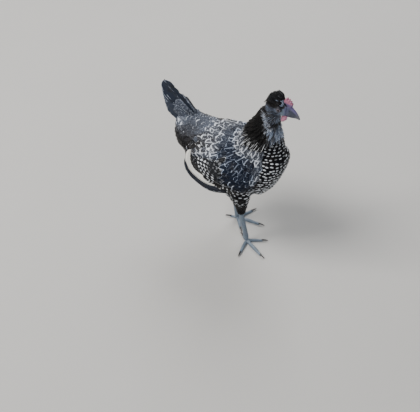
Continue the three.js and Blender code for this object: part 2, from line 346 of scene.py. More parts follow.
EYE_PLACE = np.array((0.1053, 0.0, 0.335))
EYE_SIDE = 9.7 * MM
EYE_SIZE = 5.2 * MM
GAZE = (0.20, 0.97, 0.08)
LID_OPEN = (4.0 * MM, 3.35 * MM)
LID_TURN = math.radians(-12.0)
PUPIL_EDGE, IRIS_EDGE = (0.335, 0.36), (0.68, 0.8)
CORNEA_BULGE = 0.035
EYE_BANDS, EYE_TURNS = 40, 48


def face_out(mesh):
    """Turns every face of a closed shell outwards."""
    shell = bmesh.new()
    shell.from_mesh(mesh)
    bmesh.ops.recalc_face_normals(shell, faces=shell.faces)
    shell.to_mesh(mesh)
    shell.free()


def swept(name, rings, endless=False):
    """A closed shell over rings of points: capped at its two ends, or endless, as a tyre is."""
    rings = np.array(rings)
    count, sides = rings.shape[:2]
    faces = []
    for i in range(count if endless else count - 1):
        here, there = i * sides, (i + 1) % count * sides
        for j in range(sides):
            k = (j + 1) % sides
            faces.append((here + j, here + k, there + k, there + j))
    if not endless:
        faces.append(tuple(range(sides))[::-1])
        faces.append(tuple(range((count - 1) * sides, count * sides)))
    piece = new_mesh(name, rings.reshape(-1, 3), faces)
    face_out(piece.data)
    return piece


def store(mesh, name, values):
    """Keeps a number or a vector for every point of a mesh."""
    values = np.array(values, dtype=float)
    kind = "FLOAT" if values.ndim == 1 else "FLOAT_VECTOR"
    column = mesh.attributes.new(name, kind, "POINT")
    column.data.foreach_set("value" if values.ndim == 1 else "vector", values.ravel())


def angles(count):
    """Even steps round a circle."""
    return [2.0 * math.pi * step / count for step in range(count)]


def eye_frame(side):
    """An eye's centre, the way it looks, and the ways ahead and up across it."""
    centre = EYE_PLACE + (0.0, MIDDLE + SIDES[side] * EYE_SIDE, 0.0)
    gaze = np.array(GAZE) * (1.0, SIDES[side], 1.0)
    gaze /= np.linalg.norm(gaze)
    ahead = np.cross(np.cross(gaze, (math.cos(LID_TURN), 0.0, math.sin(LID_TURN))), gaze)
    ahead /= np.linalg.norm(ahead)
    over = np.array((0.0, 0.0, 1.0)) - gaze[2] * gaze
    over -= ahead * (over @ ahead)
    return centre, gaze, ahead, over / np.linalg.norm(over)


iris, shade = new_paint("iris")
out, turn, _ = shade.parts(shade.held("look")["Vector"])
fibres = shade.node("ShaderNodeCombineXYZ", {0: shade.times(out, 3.0), 1: turn})
tone = shade.mix(shade.noise(fibres, 9.0, 4.0, 0.7), (0.075, 0.064, 0.08), (0.23, 0.195, 0.23))
tone = shade.mix(shade.step(out, *IRIS_EDGE), tone, (0.035, 0.02, 0.018))
tone = shade.mix(shade.step(out, *PUPIL_EDGE), (0.002, 0.002, 0.003), tone)
shade.finish(tone, 0.2, Specular_IOR_Level=0.15, Coat_Weight=1.0, Coat_Roughness=0.02, Coat_IOR=1.33)

for side in SIDES:
    centre, gaze, ahead, over = eye_frame(side)
    rings, look = [], []
    for i in range(EYE_BANDS + 1):
        lean = math.pi * (i + 0.02) / (EYE_BANDS + 0.04)
        size = EYE_SIZE * (1.0 + CORNEA_BULGE * (1.0 - ramp(lean, 0.2, 0.9)))
        ring = []
        for turn in angles(EYE_TURNS):
            off = math.sin(lean) * (ahead * math.cos(turn) + over * math.sin(turn))
            ring.append(centre + size * (gaze * math.cos(lean) + off))
            look.append((lean, math.sin(turn), math.cos(turn)))
        rings.append(ring)
    ball = swept(f"eyeball_{side}", rings)
    store(ball.data, "look", look)
    ball.data.materials.append(iris)
    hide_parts(f"eye_{side}")
    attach(ball, "root")

# ---- Face
# The bare skin of the face is drawn from the same hide. It rises into two lids round each ball, with
# creases behind them, a brow, a pale ear lobe and the crease of the gape.

FINE_FROM = (0.088, 0.305)
FACE_FROM = (0.0885, 0.3055)
LID_CORNER = 0.10
LID_RISE, LID_THICK = 0.22, 0.5
FOLD, FOLD_END = (1.1, 3.4), (3.3, 4.2)
LID_DEPTH, LID_SHADOW = 1.2 * MM, (4.6 * MM, 7.4 * MM)
BROW_HEIGHT, BROW_RISE, BROW_SIZE = 5.6 * MM, 0.9 * MM, (6.5, 1.9)
CREASE_PLACE, CREASE_WIDTH, CREASE_PITCH, CREASE_RISE = 1.6, 0.35, 0.27, 0.13 * MM
LOBE_PLACE, LOBE_SIDE, LOBE_SIZE, LOBE_RISE = (0.0925, 0.3215), 13.0 * MM, 3.6 * MM, 1.1 * MM
GAPE_FRONT, GAPE_BACK = np.array((0.1195, MIDDLE, 0.3225)), np.array((0.1085, MIDDLE, 0.3190))
GAPE_WIDTH, GAPE_DEPTH = 0.8 * MM, 0.45 * MM
CERE_PLACE, CERE_FOOT, CERE_WIDTH, CERE_RISE = 0.1168, 0.326, 1.5 * MM, 0.55 * MM


def mound(value, centre, width):
    """A smooth hump of height 1, that a value reaches at its centre."""
    return np.exp(-((value - centre) / width) ** 2)


grid = bmesh.new()
grid.from_mesh(skin.data)
near = [e for e in grid.edges if all(v.co.x > FINE_FROM[0] and v.co.z > FINE_FROM[1] for v in e.verts)]
bmesh.ops.subdivide_edges(grid, edges=near, cuts=3, use_grid_fill=True)
bmesh.ops.triangulate(grid, faces=[f for f in grid.faces if len(f.verts) > 4])
grid.to_mesh(skin.data)
grid.free()
smooth_faces(skin.data)

co = points_of(skin.data)
pairs = neighbours_of(skin.data)
face = (co[:, 0] > FACE_FROM[0]) & (co[:, 2] > FACE_FROM[1])
co[face] = spread(co, pairs, 8)[face]
move_points(skin.data, co)
out = unit(spread(normals_of(skin.data), pairs, 4))
socket_shade = np.zeros(len(co))
for side in SIDES:
    centre, gaze, ahead, over = eye_frame(side)
    way = co - centre
    level = way @ gaze
    x, y = way @ ahead, way @ over
    turn = np.arctan2(y / LID_OPEN[1], x / LID_OPEN[0])
    corner = 1.0 + LID_CORNER * np.cos(turn) ** 8
    reach = np.hypot(x / LID_OPEN[0], y / LID_OPEN[1]) / corner
    distance = np.hypot(x, y)
    ball = np.sqrt(np.maximum(EYE_SIZE ** 2 - distance ** 2, 0.0))
    hood = ball + (0.75 + 0.3 * ramp(y, 0.0, 3.0 * MM)) * MM
    brow = np.exp(-((x / BROW_SIZE[0] / MM) ** 2 + ((y - BROW_HEIGHT) / BROW_SIZE[1] / MM) ** 2))
    creases = np.sin(2.0 * np.pi * reach / CREASE_PITCH) * mound(reach, CREASE_PLACE, CREASE_WIDTH)
    fold = ramp(reach, *FOLD)
    goal = hood * (1.0 - fold) + (level + BROW_RISE * brow) * fold + CREASE_RISE * creases
    tuck = ramp(reach, 0.9, 1.0)
    goal = (ball - LID_DEPTH) * (1.0 - tuck) + goal * tuck
    fade = (1.0 - ramp(reach, *FOLD_END)) * (level > -2.0 * MM)
    co += np.outer((goal - level) * fade, gaze)
    # Painted shade of the eye socket: the skin darkens within a few millimetres of each eye, less where it
    # lies behind the ball.
    sunk = 2.0 * np.abs(level) * (level < 0.0)
    socket_shade = np.maximum(socket_shade, 1.0 - ramp(distance + sunk, *LID_SHADOW))
    lobe = np.array((LOBE_PLACE[0], MIDDLE + SIDES[side] * LOBE_SIDE, LOBE_PLACE[1]))
    patch = np.exp(-(((co - lobe) * (1.0, 0.4, 0.72)) ** 2).sum(axis=1) / LOBE_SIZE ** 2)
    co += out * (LOBE_RISE * patch)[:, None]
    gape = GAPE_BACK - GAPE_FRONT
    part = np.clip((co - GAPE_FRONT) @ gape / (gape @ gape), 0.0, 1.0)
    gap = co - GAPE_FRONT - np.outer(part, gape)
    groove = mound(np.hypot(gap[:, 0], gap[:, 2]), 0.0, GAPE_WIDTH)
    co -= out * (GAPE_DEPTH * groove * face)[:, None]
cere = mound(co[:, 0], CERE_PLACE, CERE_WIDTH) * (co[:, 2] > CERE_FOOT)
move_points(skin.data, co + out * (CERE_RISE * cere)[:, None])

lid_paint, shade = new_paint("lid")
grain = shade.noise(shade.place(), 2500.0)
shade.finish(shade.mix(grain, (0.012, 0.012, 0.018), (0.05, 0.055, 0.075)), 0.45, grain, 0.0001)
for side in SIDES:
    centre, gaze, ahead, over = eye_frame(side)
    rings = []
    for turn in angles(96):
        corner = 1.0 + LID_CORNER * math.cos(turn) ** 8
        x = LID_OPEN[0] * math.cos(turn) * corner
        y = LID_OPEN[1] * math.sin(turn) * corner
        line = ahead * x + over * y
        away = unit(line)
        thick = (LID_THICK + 0.12 * math.sin(turn) + 0.03 * math.sin(31.0 * turn)) * MM
        heart = centre + line + gaze * (math.sqrt(EYE_SIZE ** 2 - x * x - y * y) + LID_RISE * MM)
        rings.append([heart + thick * (gaze * math.sin(roll) * 1.1 + away * math.cos(roll) * 1.25)
                      for roll in angles(12)])
    rim = swept(f"lid_{side}", rings, endless=True)
    rim.data.materials.append(lid_paint)
    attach(rim, "root")

# ---- Beak
# Two sheaths of dark horn over the jaws. The upper one has a rounded ridge that runs down to a short
# hook, a soft base with a slit nostril under a flap, and a cutting edge that laps over the lower one.

UPPER = [(112.5, 334.6, 4.6, 5.6, 5.2), (116.8, 334.9, 6.4, 7.7, 6.7), (122, 333.9, 6.5, 7.9, 7.0)]
UPPER += [(127, 332.5, 5.6, 7.0, 6.5), (132, 330.0, 4.4, 5.6, 5.4), (136.5, 327.0, 3.1, 4.1, 4.0)]
UPPER += [(139.9, 324.1, 1.8, 2.8, 2.4), (141.7, 322.3, 0.95, 1.5, 1.2), (142.5, 321.4, 0.1, 0.15, 0.15)]
ARCH = [(0.0, 1.0), (0.3, 0.93), (0.62, 0.72), (0.86, 0.36), (0.99, -0.05), (1.03, -0.55), (0.99, -0.98)]
ARCH += [(0.84, -1.0), (0.5, -0.82), (0.0, -0.76)]
LOWER = [(110.0, 323.4, 4.4, 2.6, 2.2), (114.5, 323.2, 5.8, 3.8, 3.3), (120, 323.2, 5.4, 4.0, 3.2)]
LOWER += [(127, 323.0, 4.2, 3.0, 2.6), (132, 322.9, 2.8, 1.9, 1.8), (136.4, 322.6, 0.8, 0.9, 0.5)]
TROUGH = [(0.0, 0.75), (0.6, 0.85), (0.9, 0.95), (0.99, 0.5), (0.96, -0.1), (0.8, -0.62)]
TROUGH += [(0.45, -0.93), (0.0, -1.0)]
HORN_SIDES = 72
NOSTRIL, NOSTRIL_LEAN = (0.1235, 0.3355), math.radians(-24.0)
SLIT_SIZE, FLAP_SIZE, FLAP_OFFSET = (2.0, 0.62), (3.2, 1.1), 1.5 * MM
FLAP_RISE, BASE_RISE, SLIT_DEPTH = 0.55, 0.25, 1.25
SOFT_BASE = (0.1235, 0.1275)
RIDGE_EDGE, TIP_EDGE, BASE_EDGE = (0.4302, 0.4345), (0.132, 0.142), (0.118, 0.1255)


def through(stations, count):
    """Smooth values along a path that passes through each station."""
    stations = np.array(stations, dtype=float)
    stations = np.vstack([2 * stations[0] - stations[1], stations, 2 * stations[-1] - stations[-2]])
    places = np.linspace(0.0, len(stations) - 3.0001, count)
    first = places.astype(int)
    t = (places - first)[:, None]
    a, b, c, d = (stations[first + i] for i in range(4))
    bend = (2 * a - 5 * b + 4 * c - d) * t ** 2 + (3 * b - a - 3 * c + d) * t ** 3
    return 0.5 * (2 * b + (c - a) * t + bend)


def horn(name, stations, profile, count):
    """A beak sheath: one outline, carried along the stations x, z, half width, above and below."""
    mirrored = [(-a, b) for a, b in profile[-2:0:-1]]
    profile = through(profile + mirrored + [profile[0]], HORN_SIDES + 1)[:-1]
    rings = []
    for x, z, half, above, below in through(stations, count) * MM:
        tall = np.where(profile[:, 1] > 0.0, above, below)
        beside = MIDDLE + profile[:, 0] * half
        rings.append(np.stack([np.full(HORN_SIDES, x), beside, z + profile[:, 1] * tall], axis=1))
    return swept(name, rings)


upper = horn("beak_horn_upper", UPPER, ARCH, 110)
lower = horn("beak_horn_lower", LOWER, TROUGH, 70)
co = points_of(upper.data)
out = unit(normals_of(upper.data))
x, z = co[:, 0] - NOSTRIL[0], co[:, 2] - NOSTRIL[1]
a = x * math.cos(NOSTRIL_LEAN) + z * math.sin(NOSTRIL_LEAN)
b = z * math.cos(NOSTRIL_LEAN) - x * math.sin(NOSTRIL_LEAN)
slit = np.exp(-((a / SLIT_SIZE[0] / MM) ** 4 + (b / SLIT_SIZE[1] / MM) ** 2))
flap = np.exp(-((a / FLAP_SIZE[0] / MM) ** 2 + ((b - FLAP_OFFSET) / FLAP_SIZE[1] / MM) ** 2))
soft = 1.0 - ramp(co[:, 0], *SOFT_BASE)
rough = 0.05 * np.sin(co[:, 0] * 2600.0 + 1.5 * np.sin(co[:, 2] * 900.0)) * (1.0 - soft)
raised = FLAP_RISE * flap + BASE_RISE * soft - SLIT_DEPTH * slit + rough
move_points(upper.data, co + out * (raised * MM)[:, None])
# The slit is kept to paint the shade inside the nostril.
store(upper.data, "nostril_shade", slit)
store(lower.data, "nostril_shade", np.zeros(len(lower.data.vertices)))

beak_paint, shade = new_paint("beak")
place = shade.place()
x, y, z = shade.parts(place)
grain = shade.noise(shade.vector("MULTIPLY", place, (1.0, 3.0, 4.0)), 500.0, 4.0)
# Along the top of the ridge the horn is painted a lighter purple: a painted reflection.
ridge = shade.step(shade.math("ADD", z, shade.times(x, 0.75)), *RIDGE_EDGE)
tone = shade.mix(grain, (0.021, 0.025, 0.042), (0.070, 0.078, 0.122))
tone = shade.tinge(tone, (0.15, 0.125, 0.29), ridge, 0.85)
tone = shade.tinge(tone, (0.24, 0.23, 0.25), shade.step(x, *TIP_EDGE), 0.65)
tone = shade.tinge(tone, (0.095, 0.105, 0.20), shade.fall(x, *BASE_EDGE), 0.7)
# Painted shade: the nostril slit is painted near black.
tone = shade.tinge(tone, (0.006, 0.006, 0.01), shade.step(shade.held("nostril_shade")["Fac"], 0.3, 0.8))
shade.finish(tone, 0.34, grain, 0.0001, Coat_Weight=0.12)
for sheath, node in ((upper, "beak_upper"), (lower, "beak_lower")):
    sheath.data.materials.append(beak_paint)
    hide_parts(node)
    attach(sheath, "root")

# ---- Comb and wattles
# Soft, pebbled flesh, pink to red: a low single comb with leaning points in front of the crest, and a
# small wattle under each side of the jaw.

FLESH_GRAIN = 0.45 * MM
COMB_DROOP, WATTLE_DROOP = (-0.0012, 0.0, -0.0022), (-0.0024, 0.0, 0.0050)
# For each solid: its piece, how far its lower half reaches, how much wider it grows, rounds of smoothing.
SOFT_FLESH = {
    "comb": ("comb_flesh", COMB_DROOP, 2.1, 4),
    "wattle_right": ("wattle_flesh_right", WATTLE_DROOP, 1.5, 22),
    "wattle_left": ("wattle_flesh_left", WATTLE_DROOP, 1.5, 22),
}
JAW_PLACE, JAW_SLOPE = (0.1095, 0.3095), 0.85
WATTLE_IN, WATTLE_LIFT = 2.6 * MM, 1.3 * MM
KNOB_SCALE, KNOB_RISE = 750.0, 0.45 * MM
COMB_FOOT_TOP, COMB_FOOT_LOW = (0.3455, 0.3490), (0.330, 0.335)


def drop_specks(mesh):
    """Keeps the largest body of a mesh, without the specks shut inside it."""
    pairs = neighbours_of(mesh)
    body, spreading = np.arange(len(mesh.vertices)), True
    while spreading:
        joined = body.copy()
        np.minimum.at(joined, pairs[:, 0], body[pairs[:, 1]])
        np.minimum.at(joined, pairs[:, 1], body[pairs[:, 0]])
        spreading = bool((joined != body).any())
        body = joined
    largest = np.bincount(body).argmax()
    grid = bmesh.new()
    grid.from_mesh(mesh)
    specks = [vert for vert in grid.verts if body[vert.index] != largest]
    bmesh.ops.delete(grid, geom=specks, context="VERTS")
    grid.to_mesh(mesh)
    grid.free()


def fleshed(name, nodes, grain, smoothing, swell, droop=(0.0, 0.0, 0.0)):
    """A smooth skin over some of the solids, whose lower half may reach down."""
    points, faces, _ = gathered(nodes, swell, droop)
    piece = new_mesh(name, points, faces)
    melt(piece, grain)
    drop_specks(piece.data)
    smooth_faces(piece.data)
    move_points(piece.data, spread(points_of(piece.data), neighbours_of(piece.data), smoothing))
    return piece


comb_paint, shade = new_paint("comb")
place = shade.place()
pebbles = shade.cells(place, 1100.0)
x, y, z = shade.parts(place)
tone = shade.mix(shade.noise(place, 220.0), (0.32, 0.06, 0.14), (0.52, 0.18, 0.30))
tone = shade.tinge(tone, (0.64, 0.36, 0.48), pebbles, 0.5)
foot = shade.times(shade.fall(z, *COMB_FOOT_TOP), shade.step(z, *COMB_FOOT_LOW))
tone = shade.tinge(tone, (0.12, 0.10, 0.23), foot, 0.9)
rough = shade.math("SUBTRACT", 1.0, pebbles)
shade.finish(tone, 0.42, rough, 0.0003, Subsurface_Weight=0.25, Subsurface_Scale=0.002)
for node, (name, droop, plump, rounds) in SOFT_FLESH.items():
    piece = fleshed(name, [node], FLESH_GRAIN, rounds, 0.2 * MM, droop)
    co = points_of(piece.data)
    middle = co[:, 1].mean()
    co[:, 1] = middle + plump * (co[:, 1] - middle)
    if node != "comb":
        above = co[:, 2] - JAW_PLACE[1] - JAW_SLOPE * (co[:, 0] - JAW_PLACE[0])
        co[:, 1] -= np.sign(middle - MIDDLE) * WATTLE_IN * ramp(above, 1.5 * MM, 7.0 * MM)
        co[:, 2] += WATTLE_LIFT * ramp(-above, 0.0, 4.0 * MM)
    knobs = np.array([noise.noise(Vector(place) * KNOB_SCALE) for place in co])
    move_points(piece.data, co + normals_of(piece.data) * (KNOB_RISE * knobs)[:, None])
    piece.data.materials.append(comb_paint)
    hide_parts(node)
    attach(piece, "root")

# ---- Feathers of the neck
# Narrow silky hackles that hang from the nape and the sides of the neck over the shoulders, nearly
# black, the lower ones edged with silver. Like every feather of the coat each is a thin vane rooted
# in the skin, laid back from the beak, and overlapped by the row in front.

BED_GRAIN = 0.004
BEAK_ROOT = Vector((0.118, 0.0, 0.331))
LANCE = [(0.0, 0.2), (0.2, 0.6), (0.4, 0.92), (0.55, 1.0), (0.7, 0.88), (0.83, 0.62), (0.93, 0.34)]
LANCE += [(1.0, 0.08)]
GROWTH, FRAY_DEPTH = (0.88, 1.08), 0.3
JITTER, TILT, SUNK = 0.25 * MM, 0.4 * MM, 0.6 * MM
PATCH_SIZE = 0.003
BLACK_WEB, BLUE_WEB = (0.0035, 0.0035, 0.004), (0.006, 0.011, 0.026)
GREY_WEB, SLATE_WEB = (0.19, 0.185, 0.20), (0.225, 0.285, 0.40)
CREAM_WEB, RUST = (0.93, 0.92, 0.87), (0.02, 0.016, 0.014)
STEM, TRIM = (0.12, 0.115, 0.11), (0.07, 0.07, 0.075)
FROST, WHITE, ICE = (0.80, 0.84, 0.90), (1.0, 1.0, 1.0), (0.36, 0.52, 0.82)
BARB_PITCH, SPOT_PITCH = 0.42 * MM, 9.6 * MM
SPOT_PLACE, SPOT_LENGTH, SPOT_WIDTH = 0.86, 0.066, 0.52
UPTURN_HEIGHT, WING_FRONT = (0.205, 0.15), (0.085, 0.05)
SADDLE_FRONT = -0.012
BELLY_TOP, THIGH_TOP, CREST_FOOT = 0.158, 0.142, 0.343
NECK_FOOT, NAPE_RISE, THROAT_RISE = 0.262, 0.012, 0.018
NAPE_EDGE, THROAT_EDGE = (0.068, 0.052), (0.085, 0.108)
BREAST_BACK, BREAST_FLARE, FLARE_HEIGHT = 0.060, 0.032, (0.15, 0.21)
THROAT_LEVEL, HACKLE_LEVEL = 0.287, 0.298
EAR_STREAK, STREAK_SLOPE, STREAK_WIDTH = (0.0865, 0.311), 0.62, 0.0046
STREAK_HEIGHT = (0.272, 0.284, 0.314, 0.322)
BLUE_ALONG, BLUE_HEIGHT = (0.014, 0.034, 0.08, 0.092), (0.165, 0.188, 0.232, 0.248)
DARK_BAND, BAND_EDGE = 0.3025, (0.0022, 0.0045)
COLLAR, JAW_HEIGHT, JAW_BACK = (0.268, 0.282), (0.304, 0.309), (0.084, 0.094)
SILVER_HEIGHT = (0.284, 0.262)


def triangles_of(mesh):
    corners = [tuple(f.vertices) for f in mesh.polygons]
    return np.array([(c[0], c[i], c[i + 1]) for c in corners for i in range(1, len(c) - 1)])


def distances_from(start, co, tris):
    """The way over the surface from the nearest point to a start, by the shortest path."""
    ring = [{} for _ in co]
    across = {}
    for a, b, c in tris:
        for p, q, r in ((a, b, c), (b, c, a), (c, a, b)):
            ring[p][q] = ring[q][p] = float(np.linalg.norm(co[p] - co[q]))
            across.setdefault((min(p, q), max(p, q)), []).append(r)
    for tips in across.values():
        if len(tips) == 2:
            far = float(np.linalg.norm(co[tips[0]] - co[tips[1]]))
            ring[tips[0]][tips[1]] = ring[tips[1]][tips[0]] = far
    ways = np.full(len(co), np.inf)
    first = int(np.argmin(np.linalg.norm(co - np.array(start), axis=1)))
    ways[first] = 0.0
    queue = [(0.0, first)]
    while queue:
        way, here = heapq.heappop(queue)
        if way > ways[here]:
            continue
        for there, far in ring[here].items():
            if way + far < ways[there]:
                ways[there] = way + far
                heapq.heappush(queue, (way + far, there))
    return ways


def slope_of(values, co, tris, pairs):
    """Which way a value grows along the surface, at each of its points."""
    corners = [co[tris[:, i]] for i in range(3)]
    flat = unit(np.cross(corners[1] - corners[0], corners[2] - corners[0]))
    rise = np.zeros_like(flat)
    for i in range(3):
        opposite = corners[(i + 2) % 3] - corners[(i + 1) % 3]
        rise += values[tris[:, i], None] * np.cross(flat, opposite)
    total = np.zeros_like(co)
    for i in range(3):
        np.add.at(total, tris[:, i], rise)
    return unit(spread(unit(total), pairs, 6))


bed, bed_weights = hide("bed", BED_GRAIN, 4)
bed_co = points_of(bed.data)
bed_tris = triangles_of(bed.data)
bed_pairs = neighbours_of(bed.data)
bed_up = unit(spread(normals_of(bed.data), bed_pairs, 3))
bed_way = spread(distances_from(BEAK_ROOT, bed_co, bed_tris), bed_pairs, 30)
bed_lie = slope_of(bed_way, bed_co, bed_tris, bed_pairs)
upturn = 0.34 * ramp(bed_co[:, 2], *UPTURN_HEIGHT) - 0.08
backward = np.stack([np.full(len(bed_co), -0.95), np.zeros(len(bed_co)), upturn], axis=1)
backward -= bed_up * (bed_up * backward).sum(axis=1, keepdims=True)
on_wing = (bed_weights[:, PART["wing"]] * ramp(bed_co[:, 0], *WING_FRONT))[:, None]
bed_lie = unit(spread(bed_lie * (1.0 - on_wing) + unit(backward) * on_wing, bed_pairs, 8))
bpy.data.objects.remove(bed)
bed_values = np.hstack([bed_co, bed_lie, bed_up, bed_weights, bed_way[:, None]])
LONGEST = bed_way.max()


def contours(height, levels):
    """The lines over the bed along which a height keeps each of the given levels."""
    steps = {}
    low = np.searchsorted(levels, height[bed_tris].min(axis=1))
    high = np.searchsorted(levels, height[bed_tris].max(axis=1))
    for face in np.nonzero(high > low)[0]:
        corners = bed_tris[face]
        for level in range(low[face], high[face]):
            ends = []
            for p, q in ((0, 1), (1, 2), (2, 0)):
                p, q = sorted((corners[p], corners[q]))
                if (height[p] < levels[level]) != (height[q] < levels[level]):
                    ends.append((level, p, q))
            steps.setdefault(ends[0], []).append(ends[1])
            steps.setdefault(ends[1], []).append(ends[0])
    seen = set()
    for start in sorted(steps):
        if start in seen:
            continue
        line, here = [], start
        while here is not None:
            seen.add(here)
            level, p, q = here
            part = (levels[level] - height[p]) / (height[q] - height[p])
            line.append(bed_values[p] * (1.0 - part) + bed_values[q] * part)
            here = next((step for step in steps[here] if step not in seen), None)
        yield start[0], np.array(line)


def rows(wanted, spacing, *pitches):
    """Roots where they are wanted, in rows over the bed, every other row shifted by half a step."""
    # A pitch says how far the next row is at some way from the beak, the last one at the far end.
    levels = []
    pitches = [*pitches[:-1], (LONGEST, pitches[-1])]
    for (start, pitch), (stop, last) in zip(pitches, pitches[1:]):
        way = start
        while way < stop:
            levels.append(way)
            way += pitch + (last - pitch) * (way - start) / (stop - start)
    planted = []
    for number, line in contours(bed_way, np.array(levels)):
        top = int(np.argmax(line[:, 2] - 4.0 * np.abs(line[:, 1] - MIDDLE)))
        line = np.vstack([line[top:], line[:top + 1]])
        steps = np.linalg.norm(np.diff(line[:, :3], axis=0), axis=1)
        along = np.concatenate([[0.0], np.cumsum(steps)])
        count = max(int(round(along[-1] / spacing)), 1)
        places = (np.arange(count) + 0.5 * (number % 2)) / count
        roots = np.stack([np.interp(places * along[-1], along, column) for column in line.T], axis=1)
        keep = np.array([wanted(root) for root in roots])
        lot = np.stack([places, np.full(count, number / len(levels))], axis=1)
        planted.append(np.hstack([roots, lot])[keep])
    return np.vstack(planted)


def blank(name, outline, across=6):
    """A closed thin vane, one unit long and wide, whose outline says how wide it is along its length."""
    spans = np.linspace(-1.0, 1.0, across + 1)
    rim = across + 1
    last = len(outline) - 1
    places = [(span, half, along) for along, half in outline for span in spans]
    faces = []
    for here in (i * rim + j for i in range(last) for j in range(across)):
        faces.append((here, here + 1, here + rim + 1, here + rim))
    upper = len(faces)
    for i in range(last):
        faces.append((i * rim + across, i * rim, (i + 1) * rim, (i + 1) * rim + across))
    faces.append(tuple(range(rim)[::-1]))
    faces.append(tuple(range(last * rim, last * rim + rim)))
    piece = new_mesh(name, [(span * half * 0.5, along, 0.0) for span, half, along in places], faces)
    mesh = piece.data
    mesh.polygons.foreach_set("use_smooth", [i < upper for i in range(len(faces))])
    chart = mesh.uv_layers.new(name="vane")
    for loop in mesh.loops:
        column, row = loop.vertex_index % rim, loop.vertex_index // rim
        chart.data[loop.index].uv = (column / across, outline[row][0])
    store(mesh, "blade", [(span * half, along, span) for span, half, along in places])
    store(mesh, "rim", [min((1.0 - abs(s)) * h, (1.0 - a) * 3.0) for s, h, a in places])
    return piece


def coat_tree():
    """Grows a vane from every root, bends it along the skin and lays it over the row behind."""
    tree = bpy.data.node_groups.new("coat", "GeometryNodeTree")
    tree.interface.new_socket("Coat", in_out="OUTPUT", socket_type="NodeSocketGeometry")
    sockets = {"Roots": "Geometry", "Vane": "Object", "Skin": "Object", "Seed": "Int"}
    sockets |= {"Camber": "Float", "Ragged": "Float", "Sway": "Float", "Paint": "Material"}
    for name, kind in sockets.items():
        tree.interface.new_socket(name, in_out="INPUT", socket_type=f"NodeSocket{kind}")
    grow = Shade(tree)
    given = grow.node("NodeGroupInput").outputs

    def held(name, kind="FLOAT_VECTOR"):
        return grow.node("GeometryNodeInputNamedAttribute", {"Name": name}, data_type=kind).outputs[0]

    def keep(geometry, name, value, kind="FLOAT_VECTOR", domain="POINT"):
        inputs = {"Geometry": geometry, "Name": name, "Value": value}
        made = grow.node("GeometryNodeStoreNamedAttribute", inputs, data_type=kind, domain=domain)
        return made.outputs[0]

    def chance(low, high, who, salt):
        inputs = {"ID": who, 2: low, 3: high, "Seed": grow.math("ADD", given["Seed"], salt)}
        return grow.node("FunctionNodeRandomValue", inputs, data_type="FLOAT").outputs[1]

    def form_of(name):
        return grow.node("GeometryNodeObjectInfo", {"Object": given[name]}).outputs["Geometry"]

    def shifted(start, way, length):
        return grow.vector("ADD", start, grow.vector("SCALE", way, scale=length))

    place = grow.node("GeometryNodeInputPosition").outputs[0]
    count = grow.node("GeometryNodeInputIndex").outputs[0]
    roots = keep(keep(given["Roots"], "root", place), "number", count, "INT")
    planted = grow.node("GeometryNodeInstanceOnPoints", {"Points": roots, "Instance": form_of("Vane")})
    vanes = grow.node("GeometryNodeRealizeInstances", {"Geometry": planted}).outputs[0]
    number, upward, lie = held("number", "INT"), held("up"), held("lie")
    long, wide, lift = grow.parts(held("size"))
    cross, along, span = grow.parts(held("blade"))
    sway = grow.times(chance(-1.0, 1.0, number, 1), given["Sway"])
    lie = grow.vector("NORMALIZE", shifted(lie, grow.vector("CROSS_PRODUCT", lie, upward), sway))
    side = grow.vector("NORMALIZE", grow.vector("CROSS_PRODUCT", lie, upward))
    edge = grow.fall(held("rim", "FLOAT"), 0.0, 0.05)
    fray = grow.times(given["Ragged"], edge, chance(-1.0, 1.0, count, 2))
    growth = grow.times(long, chance(*GROWTH, number, 3))
    reach = grow.times(growth, grow.math("ADD", along, grow.times(fray, FRAY_DEPTH)))
    breadth = grow.times(wide, 0.5, grow.math("ADD", cross, fray))
    spot = shifted(shifted(held("root"), lie, reach), side, breadth)
    skin_form = form_of("Skin")

    def nearest(value):
        inputs = {"Mesh": skin_form, "Value": value, "Sample Position": spot}
        made = grow.node("GeometryNodeSampleNearestSurface", inputs, data_type="FLOAT_VECTOR")
        return made.outputs["Value"]

    out = grow.vector("NORMALIZE", nearest(held("swell")))
    rise = grow.math("ADD", grow.times(lift, along), chance(-JITTER, JITTER, number, 4))
    arch = grow.times(given["Camber"], grow.times(span, span))
    rise = grow.math("SUBTRACT", grow.math("ADD", rise, given["Camber"]), arch)
    rise = grow.math("ADD", rise, grow.times(span, TILT, chance(0.2, 1.0, number, 5)))
    target = shifted(nearest(place), out, grow.math("SUBTRACT", rise, SUNK))
    laid = grow.node("GeometryNodeSetPosition", {"Geometry": vanes, "Position": target})
    corner = grow.vector("SUBTRACT", held("vane"), (0.5, 0.5, 0.0))
    done = keep(laid, "OFBake", shifted(held("patch"), corner, PATCH_SIZE), "FLOAT2", "CORNER")
    for name in ("root", "lie", "up", "number", "patch", "vane"):
        done = grow.node("GeometryNodeRemoveAttribute", {"Geometry": done, "Name": name}).outputs[0]
    done = grow.node("GeometryNodeSetMaterial", {"Geometry": done, "Material": given["Paint"]})
    grow.node("NodeGroupOutput", {"Coat": done})
    return tree


COAT = coat_tree()
SOWN = []


